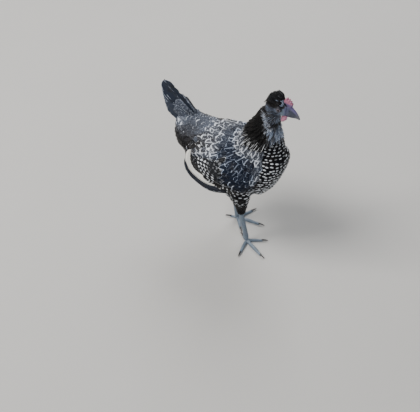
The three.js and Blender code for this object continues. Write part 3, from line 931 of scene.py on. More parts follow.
def feather(name, planted, vane, size, marks, seed, camber=0.0008, ragged=0.08, sway=0.12):
    """Grows one piece of the coat from its roots, and returns it as a plain mesh.

    For each root, size gives the vane's length, width and lift in mm. Marks give its white spot, white
    lace and flecks, and how grey, how blue and how streaked it is, each from 0 to 1.
    """
    piece = new_mesh(name, planted[:, :3], [])
    mesh = piece.data
    store(mesh, "lie", planted[:, 3:6])
    store(mesh, "up", planted[:, 6:9])
    store(mesh, "patch", np.pad(0.01 + 0.98 * planted[:, -2:], ((0, 0), (0, 1))))
    store(mesh, "size", np.array([size(root) for root in planted]) * MM)
    drawn = np.array([marks(root) for root in planted])
    store(mesh, "marks", drawn[:, :3])
    store(mesh, "dye_and_sheen", drawn[:, 3:])
    SOWN.extend(zip(planted[:, :3], drawn))
    coat = piece.modifiers.new("coat", "NODES")
    coat.node_group = COAT
    values = {"Vane": vane, "Skin": skin, "Seed": seed, "Camber": camber, "Ragged": ragged}
    values |= {"Sway": sway, "Paint": PLUMAGE}
    for item in COAT.interface.items_tree:
        if item.name in values:
            coat[item.identifier] = values[item.name]
    apply_modifiers(piece)
    piece.data.materials.clear()
    piece.data.materials.append(PLUMAGE)
    piece.data.polygons.foreach_set("material_index", [0] * len(piece.data.polygons))
    return piece


def feather_paint(name, spots="tips"):
    """The colours of a vane: dark or grey web, white spot, lacing, flecks and streak, fine barbs."""
    material, paint = new_paint(name)

    def squared(value, centre, width):
        """The square of a value's distance from a centre, as a share of a width."""
        off = paint.math("DIVIDE", paint.math("SUBTRACT", value, centre), width)
        return paint.math("POWER", off, 2.0)

    cross, along, _ = paint.parts(paint.held("blade")["Vector"])
    spot, lace, fleck = paint.parts(paint.held("marks")["Vector"])
    grey, blue, extra = paint.parts(paint.held("dye_and_sheen")["Vector"])
    long, wide, _ = paint.parts(paint.held("size")["Vector"])
    streak, cream = (0.0, extra) if spots == "rows" else (extra, 0.0)
    place = paint.place()
    wobble = paint.times(paint.math("SUBTRACT", paint.noise(place, 900.0, 2.0), 0.5), 0.5)
    away = paint.math("ABSOLUTE", cross)
    slant = paint.math("SUBTRACT", paint.times(along, long), paint.times(away, wide, 0.45))
    barbs = paint.math("SINE", paint.times(slant, 2.0 * math.pi / BARB_PITCH))

    if spots == "rows":
        beat = paint.math("COSINE", paint.times(along, long, 2.0 * math.pi / SPOT_PITCH))
        from_tip = paint.times(paint.math("SUBTRACT", 1.0, beat), 0.8)
        from_middle = squared(away, 0.52, 0.38)
    else:
        from_tip = squared(along, SPOT_PLACE, SPOT_LENGTH)
        from_middle = squared(cross, 0.0, SPOT_WIDTH)
    bar = paint.math("ADD", paint.math("ADD", from_middle, from_tip), wobble)
    bar = paint.times(paint.fall(bar, 0.6, 1.15), spot)

    rim = paint.math("ADD", paint.held("rim")["Fac"], paint.times(wobble, 0.14))
    flow = paint.times(lace, paint.step(paint.noise(place, 130.0, 1.5), 0.38, 0.6))
    lace_width = paint.math("MULTIPLY_ADD", flow, 0.5, 0.02)
    edge = paint.fall(paint.math("DIVIDE", rim, lace_width), 0.5, 1.0)
    outer = paint.step(along, 0.6, 0.8) if spots == "tips" else 1.0
    edge = paint.times(edge, paint.step(flow, 0.0, 0.12), outer)
    speck = paint.times(paint.step(paint.noise(place, 480.0, 2.0), 0.54, 0.68), fleck, 0.75)
    line_width = paint.math("MULTIPLY_ADD", along, -0.13, 0.23)
    line = paint.fall(paint.math("DIVIDE", away, line_width), 0.5, 1.0)
    line = paint.times(line, paint.step(streak, 0.0, 0.7), paint.step(along, 0.2, 0.6))
    white = paint.math("MAXIMUM", paint.math("MAXIMUM", bar, edge), paint.math("MAXIMUM", speck, line))

    # The blue dye turns a black web blue-black and a grey web slate; on the tail and the saddle this blue
    # is a painted bluish sheen.
    web = paint.mix(grey, paint.mix(blue, BLACK_WEB, BLUE_WEB), paint.mix(blue, GREY_WEB, SLATE_WEB))
    web = paint.mix(cream, web, CREAM_WEB)
    rust = paint.math("SUBTRACT", 0.5, paint.times(cream, 0.46))
    web = paint.tinge(web, RUST, rust, paint.step(paint.noise(place, 60.0), 0.45, 0.75))
    pale = paint.tinge(paint.mix(paint.noise(place, 150.0), FROST, WHITE), ICE, blue, 0.6)
    tone = paint.mix(paint.math("MINIMUM", white, 1.0), web, pale)
    tone = paint.tinge(tone, STEM, paint.fall(away, 0.015, 0.05), 0.35)
    trim = paint.times(paint.step(away, 0.66, 0.72), paint.fall(away, 0.80, 0.86))
    tone = paint.tinge(tone, TRIM, trim, cream, 0.8)
    shaded = paint.math("MULTIPLY_ADD", barbs, 0.06, 0.94)
    shading = paint.node("ShaderNodeCombineXYZ", {0: shaded, 1: shaded, 2: shaded})
    tone = paint.mix(1.0, tone, shading, "MULTIPLY")
    paint.finish(tone, 0.46, barbs, 0.00004, Specular_IOR_Level=0.1)
    return material


store(skin.data, "swell", unit(spread(normals_of(skin.data), neighbours_of(skin.data), 5)))
PLUMAGE = feather_paint("plumage")
lance = blank("lance", LANCE)
dice = random.Random(11)


def share(root, part):
    """How much of a root's place belongs to a part of the body."""
    return root[9 + PART[part]]


def region(root):
    """The tract of the coat that a root belongs to, by its place and the part of the body below it."""
    x, y, z = root[:3]
    y = abs(y - MIDDLE)
    if share(root, "head") + share(root, "crest") > 0.45:
        return "crest" if share(root, "crest") > 0.3 and z > CREST_FOOT else "face"
    if share(root, "thigh") > 0.45 and z < THIGH_TOP:
        return "thigh"
    if z > NECK_FOOT + NAPE_RISE * ramp(x, *NAPE_EDGE) + THROAT_RISE * ramp(x, *THROAT_EDGE):
        return "neck"
    if x > BREAST_BACK + BREAST_FLARE * ramp(z, *FLARE_HEIGHT):
        return "breast"
    if share(root, "wing") > 0.5:
        return "wing"
    if z < BELLY_TOP:
        return "belly"
    return "saddle" if x < SADDLE_FRONT - 0.5 * y else "back"


def between(value, low, full, still, high):
    """Rises from 0 at low to 1 at full, and falls again from still to 0 at high."""
    return ramp(value, low, full) * ramp(value, high, still)


def ear_streak(root):
    """How far a root is on the pale streak that runs down from the ear."""
    x, _, z = root[:3]
    off = x - EAR_STREAK[0] - STREAK_SLOPE * (EAR_STREAK[1] - z) + 0.003 * (dice.random() - 0.5)
    strong = dice.choice((0.3, 0.9, 1.0, 1.0))
    return strong * mound(off, 0.0, STREAK_WIDTH) * between(z, *STREAK_HEIGHT)


def blue_tract(root):
    """How far a root is inside the blue-black tract over the shoulder."""
    x, _, z = root[:3]
    return between(x, *BLUE_ALONG) * between(z, *BLUE_HEIGHT)


def neck_marks(root):
    """Pale below the jaw but for one dark band, streaked behind the ear, silver low on the neck."""
    x, _, z = root[:3]
    front = ramp(root[6], 0.55, 0.8)
    band = ramp(abs(z - DARK_BAND), *BAND_EDGE)
    pale = front * ramp(z, *COLLAR) * (0.12 + 0.88 * band) * dice.choice((0.35, 0.8, 1.0))
    jaw = 0.7 * ramp(z, *JAW_HEIGHT) * ramp(x, *JAW_BACK)
    pale = max(pale, jaw * dice.choice((0.3, 0.7, 1.0)))
    ear = ear_streak(root)
    silver = ramp(z, *SILVER_HEIGHT) * dice.choice((0.1, 0.5, 1.0, 1.0))
    lace = max(0.35 * silver, 0.8 * ear, 0.5 * pale * dice.random())
    streak = max(silver, ear, pale * dice.choice((0.2, 0.6, 1.0)))
    return (0.0, lace, 0.35 * pale, max(0.55 * pale, 0.7 * ear), max(pale, 0.8 * ear), streak)


def hackle_size(root):
    down = ramp(root[2], 0.305, 0.27)
    front = ramp(root[0], 0.085, 0.105)
    nape = ramp(root[0], 0.078, 0.068) * ramp(root[2], 0.272, 0.292)
    return (13.0 + (15.0 - 4.0 * front) * down, 5.0 + 2.2 * down, 3.4 + 1.2 * down + 2.6 * nape)


def throat_size(root):
    low = ramp(root[2], 0.31, 0.288)
    nape = ramp(root[0], 0.082, 0.072)
    return (8.0 + 4.5 * low + 2.0 * nape, 3.2 + 1.2 * low, 2.6 + 2.4 * nape)


def on_throat(root):
    return region(root) == "neck" and root[2] > THROAT_LEVEL + 0.012 * dice.random()


def on_neck(root):
    return region(root) == "neck" and root[2] < HACKLE_LEVEL


roots = rows(on_throat, 0.0024, (0.02, 0.0022), 0.0026)
coat_throat = feather("coat_throat", roots, lance, throat_size, neck_marks, 9, 0.0004)
roots = rows(on_neck, 0.0044, (0.03, 0.0026), (0.06, 0.0042), (0.16, 0.0058), 0.0065)
coat_neck = feather("coat_neck", roots, lance, hackle_size, neck_marks, 1)
for coat in (coat_throat, coat_neck):
    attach(coat, "root")

# ---- Crest and feathers of the face
# A tuft of black feathers swept back from the comb, and fine scale-like feathers over the crown and
# round the ears that leave the skin bare before and below the eye.

BROW_FRONT, BROW_TOP = 0.1045, 0.3505
LORES_BACK, LORES_TOP, CHEEK_BACK, CHEEK_TOP = 0.1065, 0.3385, 0.1035, 0.325
CHEEK_HEIGHT, CHEEK_EDGE = (0.339, 0.333), (0.078, 0.088)
FORELOCK_FRONT, FORELOCK_FOOT = 0.1125, 0.341
BARE_ROUND_EYE, BEAK_EDGE = 0.0063, 0.1175
BLUE_STREAKED = (0.0, 0.4, 0.0, 0.5, 1.0, 1.0)


def on_brow(root):
    return root[0] > BROW_FRONT and root[2] < BROW_TOP


def crest_size(root):
    if on_brow(root):
        return (7.0, 3.4, 1.6)
    back = ramp(root[0], 0.112, 0.084)
    long = 16.0 + 7.0 * back + 3.0 * dice.random()
    return (long, 3.0 + 0.5 * back, 6.2 - 3.0 * back + 1.2 * dice.random())


def crest_marks(root):
    if on_brow(root) and dice.random() < 0.1 + 0.6 * ramp(root[0], 0.107, 0.111):
        return (0.0, 0.4, 0.0, 0.4, 1.0, 1.0)
    return (0.0, 0.0, 0.0, 0.05 * dice.random(), 0.1, 0.12 * (dice.random() > 0.85))


roots = rows(lambda root: region(root) == "crest", 0.0026, (0.005, 0.0026), 0.003)
coat_crest = feather("coat_crest", roots, lance, crest_size, crest_marks, 10, 0.0005, sway=0.14)


def from_eye(root):
    """How far a root is from the middle of its eye, seen from the side."""
    centre = eye_frame("left" if root[1] > MIDDLE else "right")[0]
    return math.hypot(root[0] - centre[0], root[2] - centre[2])


def on_face(root):
    x, _, z = root[:3]
    lores = x > LORES_BACK and z < LORES_TOP + 0.2 * (x - LORES_BACK)
    cheek = x > CHEEK_BACK and z < CHEEK_TOP
    lobe = math.hypot(x - LOBE_PLACE[0], (z - LOBE_PLACE[1]) / 1.4) < LOBE_SIZE
    feathered = x < BEAK_EDGE and from_eye(root) > BARE_ROUND_EYE
    return region(root) == "face" and feathered and not (lores or cheek or lobe)


def forelock(root):
    """Whether a root stands at the foot of the comb."""
    return root[0] > FORELOCK_FRONT and root[2] > FORELOCK_FOOT


def face_size(root):
    if forelock(root):
        return (8.0, 2.6, 2.3)
    back = ramp(root[0], 0.11, 0.085)
    near = 0.75 + 0.25 * ramp(from_eye(root), 0.0066, 0.012)
    return ((3.6 + 2.6 * back) * near, (1.8 + 0.3 * back) * near, 1.25 + 0.35 * back)


def face_marks(root):
    x, _, z = root[:3]
    if forelock(root) and dice.random() > 0.3:
        return BLUE_STREAKED
    cheek = ramp(z, *CHEEK_HEIGHT) * ramp(x, *CHEEK_EDGE) * dice.choice((0.45, 0.7, 0.95))
    ear = ear_streak(root)
    return (0.0, ear, 0.2 * cheek, max(0.75 * cheek, ear), max(cheek, ear), ear)


roots = rows(on_face, 0.0014, (0.002, 0.0012), (0.03, 0.0015), 0.0017)
coat_face = feather("coat_face", roots, lance, face_size, face_marks, 12, 0.0002, sway=0.2)
for coat in (coat_crest, coat_face):
    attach(coat, "root")

# ---- Feathers of the breast
# Broad rounded black feathers in regular rows over the breast, each with one white spot set across
# it just short of its tip.

BROAD = [(0.0, 0.16), (0.22, 0.55), (0.42, 0.86), (0.6, 1.0), (0.75, 0.98), (0.87, 0.82), (0.95, 0.56)]
BROAD += [(1.0, 0.2)]
ROWS_START = 0.05
UPPER_BREAST, HIGH_BREAST = (0.25, 0.275), (0.225, 0.26)

broad = blank("broad", BROAD)


def breast_marks(root):
    upper = ramp(root[2], *UPPER_BREAST)
    spot = dice.choice((1.0, 1.0, 1.0, 0.9, 0.3)) * (1.0 - 0.5 * upper)
    blue = blue_tract(root)
    streak = 0.6 * upper * dice.random()
    return (spot * (1.0 - 0.7 * blue), 0.2 * blue, 0.0, 0.0, 0.15 + 0.85 * blue, streak)


def breast_size(root):
    high = ramp(root[2], *HIGH_BREAST)
    return (19.0 - 2.5 * high, 11.5 - 2.0 * high, 3.0)


roots = rows(lambda root: region(root) == "breast", 0.0062, (ROWS_START, 0.0064), 0.0067)
coat_breast = feather("coat_breast", roots, broad, breast_size, breast_marks, 2)
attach(coat_breast, "root")

# ---- Feathers of the back
# Broad feathers from the foot of the neck to the middle of the back, black with a bold white lace
# that is broken and uneven, bolder by the neck and browner towards the saddle.

BROWN_PATCH, BROWN_SPREAD = (-0.024, 0.038), (0.020, 0.013)
MANTLE, REAR_BACK = (0.012, 0.034), (0.0, -0.03)
BACK_END, BACK_FOOT = (-0.022, -0.036), (0.224, 0.212)
BACK_SIZE = (27.0, 15.5, 5.0)


def back_marks(root):
    x, y, z = root[:3]
    high = ramp(x, *MANTLE)
    rear = ramp(x, *REAR_BACK)
    blue = blue_tract(root)
    brown = mound(x, BROWN_PATCH[0], BROWN_SPREAD[0])
    brown *= mound(abs(y - MIDDLE), BROWN_PATCH[1], BROWN_SPREAD[1])
    lace = dice.choice((1.0, 1.0, 1.0, 0.5)) * (1.0 - 0.8 * brown) * (1.0 - 0.75 * blue)
    streak = max(high * dice.choice((0.3, 1.0)), 0.8 * (dice.random() > 0.7))
    streak *= 1.0 - 0.7 * max(brown, blue)
    # Low down behind, in the black fluff and painted shade under the rump, the feathers are left plain.
    inner = 1.0 - ramp(x, *BACK_END) * ramp(z, *BACK_FOOT)
    plain = (1.0 - 0.95 * blue) * (1.0 - 0.75 * brown) * inner
    grey = (0.28 + 0.2 * rear) * (0.6 + 0.6 * dice.random()) * plain
    fleck = 0.5 * (1.0 - brown) * (1.0 - 0.8 * blue)
    return (0.0, lace * inner, fleck, grey, 0.4 + 0.6 * blue - 0.4 * brown, streak * inner)


roots = rows(lambda root: region(root) == "back", 0.0088, (ROWS_START, 0.0098), 0.0094)
coat_back = feather("coat_back", roots, broad, lambda _: BACK_SIZE, back_marks, 3, sway=0.2)
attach(coat_back, "root")

# ---- Feathers of the saddle
# Smooth grey feathers, finely flecked, over the back and rump, with a painted bluish sheen that lightens
# them along the top, where they are plainest. They are frosted with white on the sides, and give way to
# loose black fluff low down behind, deepened there by painted shade.

FLUFF_AND_SHADE_TOP, FLUFF_AND_SHADE_FRONT = (0.230, 0.212), (-0.024, -0.036)
FROST_FRONT = (-0.055, -0.075)
FLUFF_TOP, FLUFF_FRONT = (0.222, 0.2), (-0.06, -0.085)


def saddle_marks(root):
    x, _, z = root[:3]
    # Where the feathers face up they are painted lighter grey and less flecked: a painted sheen.
    top = ramp(root[8], 0.5, 0.88)
    # Low down behind, under the rump, the feathers go black: black fluff, deepened by painted shade.
    fluff_and_shade = ramp(z, *FLUFF_AND_SHADE_TOP) * ramp(x, *FLUFF_AND_SHADE_FRONT)
    frost = ramp(x, *FROST_FRONT) * (1.0 - fluff_and_shade) * dice.choice((0.2, 0.6, 1.0))
    grey = (0.25 + 0.22 * top + 0.26 * frost) * (1.0 - 0.97 * fluff_and_shade) * (0.8 + 0.35 * dice.random())
    fleck = (0.75 - 0.4 * top + 0.4 * frost) * (1.0 - 0.9 * fluff_and_shade)
    lace = (dice.choice((0.0, 0.15, 0.3)) + 0.6 * frost) * (1.0 - fluff_and_shade)
    # The blue of the web here is a painted bluish sheen.
    return (0.0, lace, fleck, grey, 0.55 * (1.0 - fluff_and_shade), 0.6 * frost * dice.random())


def saddle_size(root):
    loose = ramp(root[2], *FLUFF_TOP) * ramp(root[0], *FLUFF_FRONT)
    return (27.0 + 4.0 * loose, 11.5, 4.8 + 4.0 * loose)


roots = rows(lambda root: region(root) == "saddle", 0.0062, (ROWS_START, 0.0075), 0.0078)
coat_saddle = feather("coat_saddle", roots, broad, saddle_size, saddle_marks, 4, ragged=0.12)
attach(coat_saddle, "root")

# ---- Feathers of the belly
# Long loose black feathers under the body and below the tail, with faint marks only near the breast.
# Their ragged edges hang apart a little behind, as fluff does.

BELLY_FRONT, BELLY_BACK = (-0.02, 0.03), (-0.05, -0.09)


def belly_marks(root):
    front = ramp(root[0], *BELLY_FRONT)
    return (0.5 * front, 0.3 * front, 0.0, 0.02, 0.1, 0.0)


def belly_size(root):
    loose = ramp(root[0], *BELLY_BACK)
    return (26.0 + 4.0 * loose, 15.0, 5.0 + 4.0 * loose)


roots = rows(lambda root: region(root) == "belly", 0.0078, (ROWS_START, 0.0075), 0.0078)
coat_belly = feather("coat_belly", roots, broad, belly_size, belly_marks, 5, ragged=0.16)
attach(coat_belly, "root")

# ---- Wing coverts
# Rounded feathers over the shoulder and the front of the wing: laced white by the back, blue-black
# with thin blue-white lines below, and spotted along the wing's lower edge. Flatter ones line the
# flank under the flight feathers.

COVERT_BACK, COVERT_FOOT = 0.012, 0.206
LACED_FOOT, LACED_ALONG = (0.196, 0.214), (-0.038, -0.026, 0.035, 0.06)
SPOTTED_TOP, WING_REAR = (0.178, 0.158), (0.05, 0.01)
FLANK_SIZE, FLANK_MARKS = (20.0, 13.0, 1.2), (0.0, 0.1, 0.0, 0.03, 0.2, 0.0)


def covert(root):
    return region(root) == "wing" and (root[0] > COVERT_BACK or root[2] > COVERT_FOOT)


def wing_marks(root):
    x, _, z = root[:3]
    blue = blue_tract(root)
    high = ramp(z, *LACED_FOOT) * between(x, *LACED_ALONG) * (1.0 - blue)
    low = ramp(z, *SPOTTED_TOP)
    bold = dice.choice((1.0, 1.0, 0.7, 0.4)) * high
    thin = dice.choice((0.5, 0.2, 0.0, 0.0)) * (1.0 - high)
    spot = dice.choice((0.9, 0.6, 0.0)) * low
    streak = 0.8 * (dice.random() > 0.85 - 0.5 * high) * (1.0 - low)
    return (spot, max(bold, thin), 0.25 * high, 0.02 + 0.26 * high, max(blue, 0.4 * (1.0 - low)), streak)


def wing_size(root):
    rear = ramp(root[0], *WING_REAR)
    return (22.0 + 3.0 * rear, 14.5, 3.8)


def flank(root):
    return region(root) == "wing" and not covert(root)


roots = rows(covert, 0.0082, (ROWS_START, 0.0088), 0.0088)
coat_wing = feather("coat_wing", roots, broad, wing_size, wing_marks, 6, sway=0.2)
roots = rows(flank, 0.008, (ROWS_START, 0.008), 0.008)
coat_flank = feather("coat_flank", roots, broad, lambda _: FLANK_SIZE, lambda _: FLANK_MARKS, 13)
for coat in (coat_wing, coat_flank):
    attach(coat, "root")

# ---- Feathers of the thigh
# Small close feathers that shorten towards the hock, black with a few pale edges high up. They are
# the last of the coat, so the blank vanes that its feathers were grown from are put away here.

PALE_THIGH, LOW_THIGH = (0.112, 0.13), (0.12, 0.085)


def thigh_marks(root):
    high = ramp(root[2], *PALE_THIGH)
    return (0.8 * high * (dice.random() > 0.5), 0.6 * high * (dice.random() > 0.35), 0.0, 0.0, 0.05, 0.0)


def thigh_size(root):
    low = ramp(root[2], *LOW_THIGH)
    return (17.0 - 5.0 * low, 9.5 - 3.0 * low, 3.2 - 0.9 * low)


roots = rows(lambda root: region(root) == "thigh", 0.0055, (ROWS_START, 0.0058), 0.0056)
coat_thigh = feather("coat_thigh", roots, broad, thigh_size, thigh_marks, 8, ragged=0.14)
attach(coat_thigh, "root")
for pattern in (broad, lance):
    bpy.data.objects.remove(pattern)

# ---- Flight feathers
# Long stiff vanes on a raised shaft, closed over one another: on each wing the black secondaries with
# rows of white spots, one broad cream primary, and slate primaries with pale edges tucked below it.

SPANS = np.array((-1.0, -0.86, -0.62, -0.38, -0.18, -0.07, 0.0, 0.07, 0.18, 0.38, 0.62, 0.86, 1.0))
COLUMNS, STATIONS = len(SPANS), 30
CUP, SHAFT, WEB, RIM = 1.2 * MM, 0.55 * MM, 0.45 * MM, 0.06 * MM
RIM_REACH = 5.0 * MM
PRIMARY_LINE = [(38, 160), (17, 161), (-8, 161), (-30, 164), (-45, 173), (-51, 187), (-50, 201)]
SECONDARY_LINE = [(38, 165), (15, 169), (-4, 175), (-15, 183), (-21, 193), (-22, 203)]
QUILLS, SPOTTED = 6, 3
# The half widths in mm, the marks and the dye of the cream primary and of the slate ones.
CREAM_QUILL = (7.5, 9.5, (0, 0.1, 0.05), (0, 0, 1.0))
SLATE_QUILL = (7.0, 7.5, (0, 0.14, 0), (0.07, 0.5, 0))
SPOTTED_MARKS, SECONDARY_DYE, SECONDARY_HALF = (1.0, 0.12, 0.0), (0.03, 0.2, 0), 7.0 * MM
PRIMARY_TIP, SECONDARY_TIP = 0.3, 0.22

skin_tree = BVHTree.FromObject(skin, bpy.context.evaluated_depsgraph_get())
quill_paint = feather_paint("quill", spots="rows")


def quill(spine, up, near, far, tip, seed):
    """Points and faces of one flight feather, with the place of each point across and along it."""
    dice = random.Random(seed)
    line = through(spine, STATIONS)
    ahead = unit(np.gradient(line, axis=0))
    upward = through(up, STATIONS)
    upward = unit(upward - ahead * (ahead * upward).sum(axis=1, keepdims=True))
    across = np.cross(ahead, upward)
    length = np.linalg.norm(np.diff(line, axis=0), axis=1).sum()
    splits = {dice.randrange(6, STATIONS - 3): dice.choice((0, -1)) for _ in range(3)}
    top, under, blades, rims = [], [], [], []
    for i in range(STATIONS):
        t = i / (STATIONS - 1)
        taper = 0.22 + 0.78 * ramp(t, 0.0, 0.3)
        round_off = math.sqrt(max(1.0 - (max(t - 1.0 + tip, 0.0) / tip) ** 2.3, 0.012))
        half = np.where(SPANS < 0.0, near, far) * taper * round_off
        if i in splits:
            half[splits[i]] *= 0.84
        shaft = SHAFT * (1.0 - 0.75 * t) * mound(SPANS, 0.0, 0.075)
        web = WEB * (1.0 - SPANS ** 2) + RIM
        arch = -CUP * SPANS ** 2
        base = line[i] + across[i] * (SPANS * half)[:, None]
        top.append(base + upward[i] * (arch + 0.5 * web + shaft)[:, None])
        under.append(base + upward[i] * (arch - 0.5 * web - 0.6 * shaft)[:, None])
        blades.append(np.stack([SPANS * taper * round_off, np.full(COLUMNS, t), SPANS], axis=1))
        rims.append(np.minimum((1.0 - np.abs(SPANS)) * half, (1.0 - t) * length) / RIM_REACH)
    faces, lower = [], COLUMNS * STATIONS
    for i in range(STATIONS - 1):
        start, stop = i * COLUMNS, (i + 1) * COLUMNS
        for a in range(start, stop - 1):
            b = a + COLUMNS
            faces.append((a, a + 1, b + 1, b))
            faces.append((lower + a, lower + b, lower + b + 1, lower + a + 1))
        for a, b in ((start, stop), (stop + COLUMNS - 1, stop - 1)):
            faces.append((a, b, lower + b, lower + a))
    for row, turn in ((0, 1), (lower - COLUMNS, -1)):
        ends = [row + j for j in range(COLUMNS)] + [lower + row + j for j in range(COLUMNS - 1, -1, -1)]
        faces.append(tuple(ends[::-turn]))
    return np.vstack(top + under), faces, np.vstack(blades * 2), np.hstack(rims * 2), length


def plumes(name, feathers):
    """Joins flight feathers into one piece that carries their marks and their bake patches.

    Each is its spine, the ways up along it, its two half widths, its round tip, its marks and its dye,
    whose blue on the tail is a painted sheen.
    """
    points, faces, columns, charts = [], [], {}, []
    for number, (spine, up, near, far, tip, marks, dye_and_sheen) in enumerate(feathers):
        made, sides, blades, rims, length = quill(spine, up, near, far, tip, number)
        start = sum(len(p) for p in points)
        points.append(made)
        faces += [tuple(start + i for i in face) for face in sides]
        held = {"blade": blades, "rim": rims}
        for key, value in (("marks", marks), ("dye_and_sheen", dye_and_sheen), ("size", (length, near + far, 0.0))):
            held[key] = np.tile(value, (len(made), 1))
        for key, values in held.items():
            columns.setdefault(key, []).append(values)
        place = 0.02 + 0.96 * (number + 0.5) / len(feathers)
        across = 0.8 / len(feathers)
        charts.append(np.stack([place + across * 0.5 * blades[:, 2], 0.02 + 0.96 * blades[:, 1]], axis=1))
    piece = new_mesh(name, np.vstack(points), faces)
    mesh = piece.data
    for key, values in columns.items():
        store(mesh, key, np.concatenate(values))
    corners = np.zeros(len(mesh.loops), dtype=int)
    mesh.loops.foreach_get("vertex_index", corners)
    mesh.uv_layers.new(name="OFBake").data.foreach_set("uv", np.vstack(charts)[corners].ravel())
    face_out(mesh)
    mesh.materials.append(quill_paint)
    return piece


def on_wing_skin(side, x, z, offset):
    """A place on the outer face of a wing, and the way out from it."""
    start = Vector((x * MM, MIDDLE + SIDES[side] * 0.2, z * MM))
    hit, normal, _, _ = skin_tree.ray_cast(start, Vector((0.0, -SIDES[side], 0.0)))
    return np.array(hit) + np.array(normal) * offset * MM, np.array(normal)


for side, way in SIDES.items():
    vanes = []
    on_skin = [on_wing_skin(side, x, z, 3.4 * min(i, 1.6) - 2.0) for i, (x, z) in enumerate(PRIMARY_LINE)]
    first, first_up = [np.array(column) for column in zip(*on_skin)]
    first_up = unit(0.3 * first_up + 0.7 * unit(np.array((0.22, way * 0.88, 0.38))))
    for k in range(QUILLS):
        rank = k / (QUILLS - 1)
        spine, up = first.copy(), first_up
        if k:
            rear = np.linspace(0.0, 1.0, len(spine))[:, None]
            spine += np.array((0.0, way * (1.8 - 2.0 * rank), -8.4 - 6.5 * rank)) * MM
            spine += rear * (-4.0 + 10.0 * rank, 0.0, -4.0 * rank) * MM
            up = unit(first_up + (0.0, 0.0, 0.25 - 0.4 * rank))
        low, high, marks, dye_and_sheen = SLATE_QUILL if k else CREAM_QUILL
        near, far = (low, high) if side == "right" else (high, low)
        vanes.append((spine, up, near * MM, far * MM, PRIMARY_TIP, marks, dye_and_sheen))
    primaries = plumes(f"primary_vanes_{side}", vanes)
    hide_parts(f"primaries_{side}")
    vanes = []
    for k in range(QUILLS):
        spine, up = [], []
        for step, (x, z) in enumerate(SECONDARY_LINE):
            rear = step / (len(SECONDARY_LINE) - 1)
            lift = 2.6 + 0.45 * k + 1.2 * rear if step else -2.5
            place, normal = on_wing_skin(side, x + 9.5 * k * rear, z + (6.5 - 4.5 * rear) * k, lift)
            spine.append(place)
            up.append(normal)
        marks = SPOTTED_MARKS if k < SPOTTED else (0.25 * (k % 2), 0.5, 0.1)
        vanes.append((spine, up, SECONDARY_HALF, SECONDARY_HALF, SECONDARY_TIP, marks, SECONDARY_DYE))
    secondaries = plumes(f"secondary_vanes_{side}", vanes)
    for piece in (primaries, secondaries):
        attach(piece, "root")

# ---- Tail
# Seven pairs of dark slate steering feathers, roofed over one another and held high, each with a
# pale edge and a plain shaft. The top pair is the longest and the lowest pair stands nearly upright.

TAIL_ROOT = (-69.66, 1.565, 232.0)
TAIL_PAIRS = 7
TAIL_LENGTH, TAIL_SHORTER = 95, 30
TAIL_BOW, TAIL_HALF, TAIL_TIP = 4.0 * MM, 11.0 * MM, 0.2


def tail_place(way, rank):
    """A tail feather's root, the way it points, the way across it and the way out of its face."""
    rise, turn, roll = (math.radians(a) for a in (42 - 7 * rank, 2 + 10 * rank, 48 + 34 * rank))
    flat = math.cos(rise)
    heading = np.array((-flat * math.cos(turn), way * flat * math.sin(turn), math.sin(rise)))
    across = np.array((0.0, math.cos(roll), -way * math.sin(roll)))
    across = unit(across - heading * (heading @ across))
    root = (np.array(TAIL_ROOT) + (0.0, way * (3 + 6 * rank), -16 * rank)) * MM
    return root, heading, across, np.cross(heading, across)


vanes = []
for way in SIDES.values():
    for pair in range(TAIL_PAIRS):
        rank = pair / (TAIL_PAIRS - 1)
        root, heading, _, face = tail_place(way, rank)
        length = (TAIL_LENGTH - TAIL_SHORTER * rank) * MM
        places = [root + heading * length * t + face * TAIL_BOW * t * t for t in (0.0, 0.3, 0.65, 1.0)]
        up = [face * (1 if face[2] > 0 else -1)] * 4
        # The tail's grey is its slate colour; its blue is a painted bluish sheen.
        dye_and_sheen = (0.12 + 0.08 * rank, 0.7, 0)
        vanes.append((places, up, TAIL_HALF, TAIL_HALF, TAIL_TIP, (0, 0.22, 0), dye_and_sheen))
tail = plumes("tail_vanes", vanes)
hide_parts("tail")
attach(tail, "root")

# ---- Tail coverts
# Two rows of short grey feathers, flecked with white, that lap round the root of the tail on both
# sides and hide where the steering feathers leave the rump.

COVERTS, COVERT_LENGTH, COVERT_HALF, COVERT_TIP = 6, 38, 7.0 * MM, 0.4
COVERT_MARKS, COVERT_DYE = (0, 0.1, 0.5), (0.36, 0.6, 0)

vanes = []
for way in SIDES.values():
    for row in range(2):
        for k in range(COVERTS):
            rank = (k + 0.5 * row) / (COVERTS - 0.5)
            root, heading, across, face = tail_place(way, rank)
            face *= 1 if face[1] * way > 0 else -1
            root += (across * way * (3.0 - 13.0 * rank) + heading * (2 + 14 * row)) * MM
            steps = (0.0, 0.35, 0.7, 1.0)
            places = [root + (heading * COVERT_LENGTH * t + face * (4.6 + 1.6 * t)) * MM for t in steps]
            up = [face] * len(places)
            vanes.append((places, up, COVERT_HALF, COVERT_HALF, COVERT_TIP, COVERT_MARKS, COVERT_DYE))
tail_coverts = plumes("tail_covert_vanes", vanes)
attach(tail_coverts, "root")

# ---- Legs
# Slate-blue scaled skin over thin bone. Broad plates lap down the front of the shank and over the top
# of each toe, small scales cover the back, and the soles are pads with fine papillae.

FEET = {"right": (64.34, -28.435, -24.0), "left": (16.34, 17.565, 8.0)}
TOES = {"middle": (0.0, 50.0), "inner": (56.0, 34.0), "outer": (-56.0, 38.0), "hind": (172.0, 17.0)}
HOCK_OFFSET, FOOT_HEIGHT, TOE_DIP = (-14.0, 2.0, 77.0), 5.0, 0.03
SHANK_PITCH, TOE_PITCH, SCALE_PITCH = 4.4 * MM, 2.5 * MM, 2.2 * MM
PLATE_RISE, SCALE_RISE = 0.42, 0.22
SOLE = (0.6 * MM, 2.5 * MM)

